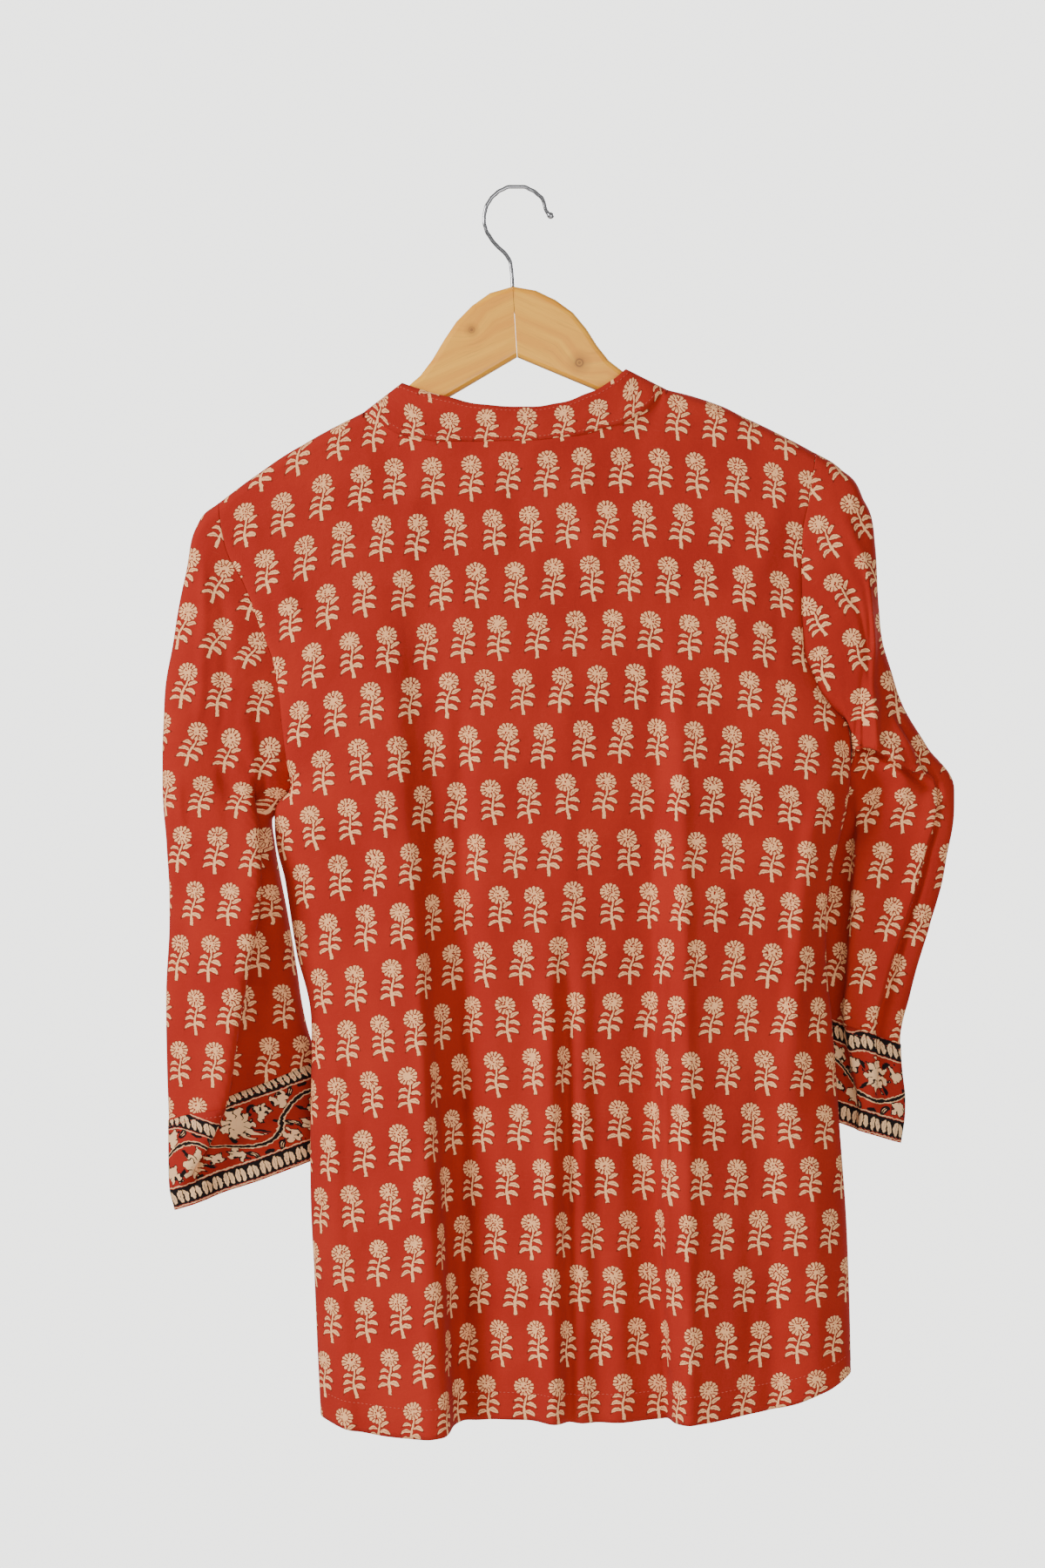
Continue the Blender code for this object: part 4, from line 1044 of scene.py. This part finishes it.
def border_cotton(node):
    """The same cotton, printed in black and beige: a vine between two ladder bands."""
    place, moved = cloth_point(node, 2.4)
    red = dyed_ground(node, place, "98211A", "A2281D", "B04030")
    black, beige = linear("181010"), linear("F4C492")
    across, up = node("SeparateXYZ", moved).node.outputs[:2]
    middle = node("Math SUBTRACT", up, 0.5 * (LADDER_LOW + LADDER_HIGH))

    number, x = repeat(node, across, 0.5 * VINE_REPEAT)
    odd = node("Math FLOORED_MODULO", number, 2.0)
    y = node("Math MULTIPLY", middle, node("Math MULTIPLY_ADD", odd, -2.0, 1.0))
    point = node("CombineXYZ", x, y, 0.0)
    phase = node("Math MULTIPLY", x, 2.0 * math.pi / VINE_REPEAT)
    crest = node("Math MULTIPLY", node("Math SINE", phase), VINE_RISE)
    vine = node("Math ABSOLUTE", node("Math SUBTRACT", y, crest))
    lumpy = shaken(node, point, place, 11.0, 0.2, 1.0)
    pale = [node("Group", lumpy, (row.x, row.y, 0.0), (row.half, row.half, 1.0),
                 float(row.lobes), row.depth, row.turn, 0.12,
                 node_tree=bpy.data.node_groups["Bloom distance"]) for row in BORDER_BLOOMS]
    pale += leaf_shapes(node, point, [leaf for leaf in BORDER_LEAVES if not leaf.black])
    solid = leaf_shapes(node, point, [leaf for leaf in BORDER_LEAVES if leaf.black])

    slant = node("Math MULTIPLY_ADD", up, LADDER_SLANT, across)
    step = node("Math FLOORED_MODULO", slant, LADDER_PITCH)
    low, high = (node("Math SUBTRACT", up, level) for level in (LADDER_LOW, LADDER_HIGH))
    offs = [node("Math ABSOLUTE", level) for level in (low, high)]
    band = node("Math MINIMUM", *offs)
    in_band = node("MixRGB", node("Math LESS_THAN", *offs), high, low)
    rung = node("CombineXYZ", step, in_band, 0.0)
    bean, arch = leaf_shapes(node, rung, (LADDER_BEAN, LADDER_ARCH))

    field = printed_colour(node, union(node, pale), moved, red, black, beige, 0.5, 1.0)
    rungs = black
    edge_line = node("Math ABSOLUTE", node("Math SUBTRACT", band, LADDER_HALF + 0.9))
    for distance, start, end, share, colour in (
            (union(node, solid), 0.3, 0.0, 1.0, black), (vine, 1.9, 1.65, 0.9, beige),
            (vine, 1.25, 0.95, 1.0, black), (edge_line, 0.55, 0.3, 0.75, beige)):
        field = node("MixRGB", node("MapRange", distance, start, end, 0.0, share), field, colour)
    for start, end, colour in ((0.0, -0.25, beige), (-0.75, -0.95, red)):
        rungs = node("MixRGB", node("MapRange", arch, start, end, 0.0, 1.0), rungs, colour)
    rungs = printed_colour(node, bean, moved, rungs, black, beige, 0.15, 1.0)
    band_mask = node("MapRange", band, LADDER_HALF + 0.2, LADDER_HALF, 0.0, 1.0)
    return {"Base Color": node("MixRGB", band_mask, field, rungs),
            "Normal": cloth_bump(node, place)}


# Knots in the hanger's wood: middle, in the frame, and radius.  The grain bends round a knot by
# its pull near to it, and no more at its reach.
Knot = namedtuple("Knot", "x z radius near reach pull")
KNOTS = rows(Knot, (-31.0, -99.2, 2.6, 3.0, 16.0, 7.0), (43.6, -121.9, 4.2, 4.0, 20.0, 8.0))
ARM_SLOPE = math.radians(-24.0)


def varnished_wood(node):
    """Pine or beech, satin-varnished: warm yellow, grain along each arm and two dark knots."""
    scaled = node("VectorMath MULTIPLY", node("TexCoord", out=3), (1000.0, 1000.0, 1000.0))
    parts = node("SeparateXYZ", scaled).node.outputs
    offset = node("Math ADD", parts[0], 1.0)
    side = node("Math MULTIPLY", node("Math SIGN", offset), 60.0)
    mirrored = node("CombineXYZ", node("Math ABSOLUTE", offset), side, parts[2])
    turned = node("VectorRotate", mirrored, Angle=ARM_SLOPE, rotation_type='Y_AXIS')
    fars, pulls = [], []
    for knot in KNOTS:
        near = node("VectorMath SUBTRACT", scaled, (knot.x, 0.0, knot.z))
        flat = node("VectorMath MULTIPLY", near, (1.0, 0.0, 1.0))
        fars.append(node("VectorMath LENGTH", flat, out=1))
        pulls.append(node("MapRange", fars[-1], knot.near, knot.reach, knot.pull, 0.0))
    pulled = node("CombineXYZ", 0.0, 0.0, node("Math ADD", *pulls))
    warped = node("VectorMath ADD", turned, pulled)
    broad = streaks(node, warped, (0.010, 0.12, 0.16), 4.0, Distortion=0.4)
    fine = streaks(node, warped, (0.035, 0.9, 1.3), 3.0)
    share = node("MapRange", broad, 0.36, 0.66, 0.0, 1.0)
    colour = node("MixRGB", share, linear("FFB62E"), linear("F09E22"))
    pores = node("MapRange", fine, 0.56, 0.72, 0.0, 0.45)
    colour = node("MixRGB", pores, colour, linear("C07C30"))
    for knot, far in zip(KNOTS, fars):
        halo = node("MapRange", far, knot.radius * 2.4, knot.radius * 0.8, 0.0, 0.5)
        colour = node("MixRGB", halo, colour, linear("A4642A"))
        rings = node("Math SINE", node("Math MULTIPLY", far, 3.2))
        core = node("MapRange", far, knot.radius, knot.radius * 0.7, 0.0, 1.0)
        dark = node("Math MULTIPLY", core, node("Math MULTIPLY_ADD", rings, 0.3, 0.5))
        colour = node("MixRGB", dark, colour, linear("7C4A20"))
    return {"Base Color": colour,
            "Normal": node("Bump", Strength=0.25, Distance=0.00015, Height=fine)}


def mottled(node, scale, detail, *colours):
    """Two colours mixed by a noise, and the noise."""
    noise = node("TexNoise", node("TexCoord", out=3), Scale=scale, Detail=detail)
    return node("MixRGB", noise, *(linear(colour) for colour in colours)), noise


def plated_wire(node):
    """Drawn and plated steel wire: bright, with faint marks that dull it in places."""
    colour, marks = mottled(node, 900.0, 3.0, "8E8E92", "C8C8CC")
    return {"Base Color": colour, "Roughness": node("MapRange", marks, 0.3, 0.7, 0.12, 0.28)}


def sewing_thread(node):
    """Twisted cotton thread, dyed near the cloth's red but a little paler and brighter."""
    return {"Base Color": mottled(node, 2500.0, 2.0, "BC4634", "D86450")[0]}


def floor_paint(node):
    """Matt pale studio floor with a faint mottle."""
    return {"Base Color": mottled(node, 6.0, 4.0, "E2E2DF", "EAEAE8")[0]}


COTTON = {"Roughness": 0.88, "Sheen Weight": 0.02, "Sheen Roughness": 0.5,
          "Specular IOR Level": 0.15}
FINISHES = {                # each finish's function, and the constants of its shader
    "madder_printed_cotton": (printed_cotton, COTTON),
    "border_printed_cotton": (border_cotton, COTTON),
    "varnished_pale_wood": (varnished_wood, {"Roughness": 0.42, "Coat Weight": 0.25,
                                             "Coat Roughness": 0.25}),
    "plated_steel_wire": (plated_wire, {"Metallic": 1.0}),
    "red_sewing_thread": (sewing_thread, {"Roughness": 0.7}),
    "matt_studio_floor": (floor_paint, {"Roughness": 0.8}),
}


def material_of(name):
    """A finish by name, made once."""
    if name in bpy.data.materials:
        return bpy.data.materials[name]
    material = bpy.data.materials.new(name)
    material.use_nodes = True
    tree = material.node_tree
    sockets = tree.nodes["Principled BSDF"].inputs
    lay, constants = FINISHES[name]
    for socket, value in constants.items():
        sockets[socket].default_value = value
    for socket, value in lay(partial(add, tree)).items():
        tree.links.new(value, sockets[socket])
    return material


# Pieces

SHELL = 0.9                 # printed cotton with a little body, as seen at its edges
COLLAR_SHELL = 1.6          # doubled and interfaced
BORDER_EXTRA = 0.3          # a border strip has a turned edge under it
SIDES = {-1: "left", 1: "right"}


def panel(size, front):
    columns = panel_columns(size.front_columns if front else size.back_columns)
    rows_down = panel_rows(size.front_rows if front else size.back_rows)
    width = BODY_LEVELS[0].right_x - BODY_LEVELS[0].left_x
    middle = (0.5 * (NECK_LEFT[0] + NECK_RIGHT[0]) - BODY_LEVELS[0].left_x) / width
    slit = int(np.argmin(np.abs(columns - middle))) if front else None
    name = "front" if front else "back"
    declare(cloth_shell(name + "_cloth", columns, rows_down, lambda c, r: hung_body(c, r, front),
                        lambda p: body_print(p, front), size.shell, "madder_printed_cotton",
                        slit=slit),
            name + "_panel")


def sleeve(size, side):
    declare(cloth_shell("sleeve_cloth_" + SIDES[side],
                        np.linspace(-0.5, 0.5, size.sleeve_columns + 1),
                        CUFF_START * even(size.sleeve_rows, 0.004, 0.010, 0.016),
                        lambda c, r: hung_sleeve(side, c, r), lambda p: sleeve_print(p, side),
                        size.shell, "madder_printed_cotton", closed=True),
            "sleeve_" + SIDES[side])


def border(size, side):
    declare(cloth_shell("border_cloth_" + SIDES[side],
                        np.linspace(-0.5, 0.5, size.sleeve_columns + 1),
                        np.linspace(CUFF_START - 0.004, 1.0, size.border_rows + 1),
                        lambda c, r: cuff_place(side, c, r), lambda p: border_print(p, side),
                        size.shell + BORDER_EXTRA, "border_printed_cotton", closed=True),
            "cuff_" + SIDES[side])


def collar(size):
    declare(cloth_shell("collar_cloth", np.linspace(0.0, 4.0, size.collar_columns + 1),
                        even(size.collar_rows)[::-1], collar_place, collar_print,
                        size.collar_shell, "madder_printed_cotton"),
            "collar_band")


STITCH_LONG = 1.05          # half length of a stitch's bead
STITCH_WIDE = 0.24          # and its half width
BODY_LENGTH = 640.0         # down the panels, where the hem's stitches are counted from
COLLAR_HEIGHT = 24.0


def stitch_row(sheet, points, outward, pitch, lift):
    """Stitches along a line of points, each a small long bead lying on the cloth."""
    run = length_along(points)
    count = int(run[-1] / pitch)
    for at in (np.arange(count) + 0.5) * run[-1] / count:
        place, ahead, normal = (
            np.array([np.interp(spot, run, line[:, k]) for k in range(3)])
            for spot, line in ((at, points), (at + 0.5, points), (at, outward)))
        along = Vector(ahead - place)
        if along.length < 0.0001:
            continue
        along.normalize()
        up = Vector(normal)
        up = (up - along * up.dot(along)).normalized()
        turn = Matrix((along * STITCH_LONG, up.cross(along) * STITCH_WIDE, up * STITCH_WIDE))
        move = Matrix.Translation(Vector(place) * MM + up * lift * MM)
        matrix = move @ (turn.transposed() * MM).to_4x4()
        bmesh.ops.create_icosphere(sheet, subdivisions=1, radius=1.0, matrix=matrix)


def sewn_line(place, columns, row, away_from):
    """Points along a row of a placed sheet, and its normals, turned away from other places."""
    step = 0.002
    rows_along = np.full_like(columns, row)
    points = place(columns, rows_along)
    normal = unit(np.cross(place(columns + step, rows_along) - place(columns - step, rows_along),
                           place(columns, rows_along + step) - place(columns, rows_along - step)))
    away = points - away_from(points)
    return points, normal * np.sign(np.sum(normal * away, axis=-1, keepdims=True))


def sewn_lines(size):
    """Every row of machine stitches that shows, with how far each lies from the cloth's middle."""
    for front in (False, True):
        outside = np.array([0.0, 1.0 if front else -1.0, 0.0])
        yield *sewn_line(lambda c, r: hung_body(c, r, front), np.linspace(0.012, 0.988, 500),
                         1.0 - size.hem_depth / BODY_LENGTH, lambda p: p - outside), 0.5
    edge = size.collar_edge / COLLAR_HEIGHT
    for up in (edge, 1.0 - edge):
        yield *sewn_line(collar_place, np.linspace(0.03, 3.97, 500), up,
                         lambda p: p * np.array([0.6, 0.0, 1.0])), 0.85
    for side in SIDES:
        x, y, _ = 0.5 * sum(cuff_place(side, np.full(1, around), np.full(1, 0.9))[0]
                            for around in (0.0, 0.5))
        for along in (CUFF_START + 0.005, 0.992):
            yield *sewn_line(
                lambda c, r: cuff_place(side, c, r), np.linspace(-0.495, 0.495, 400), along,
                lambda p: np.stack([between(p[:, 0], x, 0.3), np.full(len(p), y), p[:, 2]],
                                   axis=-1)), 0.62


def hook_route():
    """Middle line of the wire from the end of its stem to its tip."""
    top, foot = np.array(JOINT_TOP), np.array(JOINT_FOOT)
    stem = unit(foot - top) * STEM_DEPTH
    centre = np.array([0.0, WIRE_RADIUS - CROWN_RADIUS])
    crown = [centre + CROWN_RADIUS * np.array([math.cos(angle), math.sin(angle)])
             for angle in np.linspace(CROWN_FROM, CROWN_TO, 12)]
    return np.array([top + stem, top + stem * 0.5, top, *HOOK_NECK, *crown, *HOOK_TIP])


def wire_hook():
    """The hook's wire, with the ball at its tip."""
    route = hook_route()
    run = length_along(route)
    middle = run[-1] - BEAD_RADIUS
    ball = run[-1] - BEAD_RADIUS * (1.0 - np.cos(np.linspace(0.0, math.pi, 15)))[::-1]
    along = np.concatenate([np.linspace(0.0, ball[0] - 0.8, 150), ball])
    curve = bpy.data.curves.new("hook_wire", 'CURVE')
    curve.dimensions = '3D'
    curve.bevel_depth = WIRE_RADIUS * MM
    curve.bevel_resolution = 6
    curve.use_fill_caps = True
    spline = curve.splines.new('POLY')
    spline.points.add(len(along) - 1)
    for point, x, z, off in zip(spline.points, through(run, route[:, 0], along),
                                through(run, route[:, 1], along), along - middle):
        point.co = (x * MM, 0.0, z * MM, 1.0)
        ball_half = math.sqrt(max(BEAD_RADIUS ** 2 - off ** 2, 0.0))
        near_ball = off > -BEAD_RADIUS * 0.8
        point.radius = max(ball_half, 0.1) / WIRE_RADIUS if near_ball else 1.0
    curve.materials.append(material_of("plated_steel_wire"))
    return in_scene("hook_wire", curve)


# Properties

class KurtaClothSettings(bpy.types.PropertyGroup):
    """How finely each cloth piece is divided, and how thick it is."""
    back_columns: bpy.props.IntProperty(
        name="Back columns", description="Divisions across the back", default=180)
    back_rows: bpy.props.IntProperty(
        name="Back rows", description="Divisions down the back", default=190)
    front_columns: bpy.props.IntProperty(
        name="Front columns", description="Divisions across the front", default=120)
    front_rows: bpy.props.IntProperty(
        name="Front rows", description="Divisions down the front", default=120)
    sleeve_columns: bpy.props.IntProperty(
        name="Sleeve columns", description="Divisions round a sleeve, an even number", default=144)
    sleeve_rows: bpy.props.IntProperty(
        name="Sleeve rows", description="Divisions along a sleeve", default=150)
    border_rows: bpy.props.IntProperty(
        name="Border rows", description="Divisions along a border strip", default=22)
    collar_columns: bpy.props.IntProperty(
        name="Collar columns", description="Divisions along the collar band", default=160)
    collar_rows: bpy.props.IntProperty(
        name="Collar rows", description="Divisions up the collar band", default=8)
    shell: bpy.props.FloatProperty(
        name="Cloth", description="Thickness of the cloth, in millimetres", default=SHELL)
    collar_shell: bpy.props.FloatProperty(
        name="Collar", description="Thickness of the doubled collar, in millimetres",
        default=COLLAR_SHELL)


class KurtaStitchSettings(bpy.types.PropertyGroup):
    """Where the rows of stitches lie, in millimetres."""
    pitch: bpy.props.FloatProperty(
        name="Pitch", description="From one stitch to the next, in millimetres", default=3.0)
    hem_depth: bpy.props.FloatProperty(
        name="Hem", description="Height of the hem's stitches, in millimetres", default=19.0)
    collar_edge: bpy.props.FloatProperty(
        name="Collar edge", description="From the collar's edges to its stitches", default=2.6)


class KurtaStageSettings(bpy.types.PropertyGroup):
    """Camera, lights and floor."""
    camera_distance: bpy.props.FloatProperty(
        name="Camera distance", description="From the camera to the cloth", default=1.8,
        unit='LENGTH')
    lens: bpy.props.FloatProperty(
        name="Lens", description="Focal length on a 36 mm frame", default=60.0)
    floor_height: bpy.props.FloatProperty(
        name="Floor height", description="Height of the floor below the hook", default=-1.75,
        unit='LENGTH')
    key_power: bpy.props.FloatProperty(
        name="Key power", description="Power of the soft light at the upper left", default=68.0,
        subtype='POWER')
    fill_power: bpy.props.FloatProperty(
        name="Fill power", description="Power of the broad light in front", default=30.0,
        subtype='POWER')
    rear_power: bpy.props.FloatProperty(
        name="Rear power", description="Power of the soft light behind", default=60.0,
        subtype='POWER')
    wall_strength: bpy.props.FloatProperty(
        name="Wall", description="Strength of the pale surroundings as they are seen", default=3.3)
    room_strength: bpy.props.FloatProperty(
        name="Room", description="Strength of the light the surroundings give", default=0.36)


# Operators

class KURTA_OT_panels(bpy.types.Operator):
    """Build the back and the front with its neck slit"""
    bl_idname = "kurta.panels"
    bl_label = "Back and front"

    def execute(self, context):
        for front in (False, True):
            panel(context.scene.kurta_cloth, front)
        return {'FINISHED'}


class KURTA_OT_sleeves(bpy.types.Operator):
    """Build both sleeves"""
    bl_idname = "kurta.sleeves"
    bl_label = "Sleeves"

    def execute(self, context):
        for side in SIDES:
            sleeve(context.scene.kurta_cloth, side)
        return {'FINISHED'}


class KURTA_OT_borders(bpy.types.Operator):
    """Build the printed strips at the sleeve ends"""
    bl_idname = "kurta.borders"
    bl_label = "Border strips"

    def execute(self, context):
        for side in SIDES:
            border(context.scene.kurta_cloth, side)
        return {'FINISHED'}


class KURTA_OT_collar(bpy.types.Operator):
    """Build the band collar"""
    bl_idname = "kurta.collar"
    bl_label = "Band collar"

    def execute(self, context):
        collar(context.scene.kurta_cloth)
        return {'FINISHED'}


class KURTA_OT_stitches(bpy.types.Operator):
    """Sew the hem, the collar's edges and the border strips"""
    bl_idname = "kurta.stitches"
    bl_label = "Stitches"

    def execute(self, context):
        size = context.scene.kurta_stitches
        sheet = bmesh.new()
        for points, outward, lift in sewn_lines(size):
            stitch_row(sheet, points, outward, size.pitch, lift)
        thing = finished(sheet, "stitches", "red_sewing_thread")
        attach(thing, ROOT)
        return {'FINISHED'}


class KURTA_OT_hanger(bpy.types.Operator):
    """Finish the wooden arms and build the wire hook"""
    bl_idname = "kurta.hanger"
    bl_label = "Hanger"

    def execute(self, context):
        for side in SIDES.values():
            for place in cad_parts["hanger_arm_" + side].material_slots:
                place.material = material_of("varnished_pale_wood")
        hook = wire_hook()
        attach(hook, ROOT)
        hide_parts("hook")
        return {'FINISHED'}


# Where the camera aims, in metres: the middle of the garment's back
AIM = (0.0042, -0.014, -0.4134)
Lamp = namedtuple("Lamp", "x y z across colour")
LAMPS = {                   # places and sizes in metres
    "key": Lamp(-2.0, -1.15, 0.6, 1.0, (1.0, 0.985, 0.96)),
    "fill": Lamp(0.5, -2.3, -0.7, 2.2, (1.0, 1.0, 1.0)),
    "rear": Lamp(1.7, 2.0, 0.8, 1.3, (1.0, 1.0, 1.0)),
}


class KURTA_OT_stage(bpy.types.Operator):
    """Add the camera, the soft lights, the pale surroundings and the floor"""
    bl_idname = "kurta.stage"
    bl_label = "Stage"

    def execute(self, context):
        size = context.scene.kurta_stage
        data = bpy.data.cameras.new("camera")
        data.lens = size.lens
        data.sensor_width = 36.0
        camera = in_scene("camera", data)
        camera.location = (AIM[0], AIM[1] - size.camera_distance, AIM[2])
        camera.rotation_euler = (math.radians(90.0), 0.0, 0.0)
        context.scene.camera = camera
        for name, lamp in LAMPS.items():
            data = bpy.data.lights.new(name, 'AREA')
            data.energy = getattr(size, name + "_power")
            data.shape = 'DISK'
            data.size = lamp.across
            data.color = lamp.colour
            light = in_scene(name, data)
            light.location = lamp[:3]
            away = Vector(AIM) - Vector(lamp[:3])
            light.rotation_euler = away.to_track_quat('-Z', 'Y').to_euler()
        world = bpy.data.worlds.new("pale_studio")
        world.use_nodes = True
        back = world.node_tree.nodes["Background"].inputs
        back["Color"].default_value = linear("F4F4F1")
        strength = add(world.node_tree, "MapRange", add(world.node_tree, "LightPath"), 0.0, 1.0,
                       size.room_strength, size.wall_strength)
        world.node_tree.links.new(strength, back["Strength"])
        context.scene.world = world
        sheet = bmesh.new()
        bmesh.ops.create_circle(sheet, cap_ends=True, segments=96, radius=1.9,
                                matrix=Matrix.Translation((0.0, 0.0, size.floor_height)))
        floor = finished(sheet, "studio_floor", "matt_studio_floor")
        floor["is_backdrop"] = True
        return {'FINISHED'}


class KURTA_PT_sidebar(bpy.types.Panel):
    """The tunic's pieces and sizes"""
    bl_idname = "KURTA_PT_sidebar"
    bl_label = "Kurta tunic"
    bl_space_type = 'VIEW_3D'
    bl_region_type = 'UI'
    bl_category = "Kurta"

    def draw(self, context):
        for name in PIECES:
            self.layout.operator("kurta." + name)
        for group in SETTINGS:
            box = self.layout.box()
            settings = getattr(context.scene, group)
            for name in settings.__annotations__:
                box.prop(settings, name)


PIECES = ("panels", "sleeves", "borders", "collar", "stitches", "hanger", "stage")
SETTINGS = {"kurta_cloth": KurtaClothSettings, "kurta_stitches": KurtaStitchSettings,
            "kurta_stage": KurtaStageSettings}
CLASSES = (
    *SETTINGS.values(), KURTA_OT_panels, KURTA_OT_sleeves, KURTA_OT_borders, KURTA_OT_collar,
    KURTA_OT_stitches, KURTA_OT_hanger, KURTA_OT_stage, KURTA_PT_sidebar,
)


def register():
    for cls in CLASSES:
        bpy.utils.register_class(cls)
    for group, cls in SETTINGS.items():
        setattr(bpy.types.Scene, group, bpy.props.PointerProperty(type=cls))


def unregister():
    for group in SETTINGS:
        delattr(bpy.types.Scene, group)
    for cls in reversed(CLASSES):
        bpy.utils.unregister_class(cls)


def main():
    register()
    new_group("Leaf distance", leaf_distance,
              {"Point": "Vector", "Middle": "Vector", "Turn": "Float", "Half size": "Vector",
               "Droop": "Float"}, {"Distance": "Float"})
    new_group("Bloom distance", bloom_distance,
              {"Point": "Vector", "Middle": "Vector", "Half size": "Vector", "Lobes": "Float",
               "Depth": "Float", "Turn": "Float", "Slit": "Float"},
              {"Distance": "Float", "Radius": "Float"})
    bpy.ops.kurta.panels()
    bpy.ops.kurta.sleeves()
    bpy.ops.kurta.borders()
    bpy.ops.kurta.collar()
    bpy.ops.kurta.stitches()
    bpy.ops.kurta.hanger()
    bpy.ops.kurta.stage()
    boxes = {"cad": CAD_BOX, "visual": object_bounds()}
    plain = {name: [[float(v) for v in corner] for corner in box] for name, box in boxes.items()}


if __name__ == "__main__":
    main()
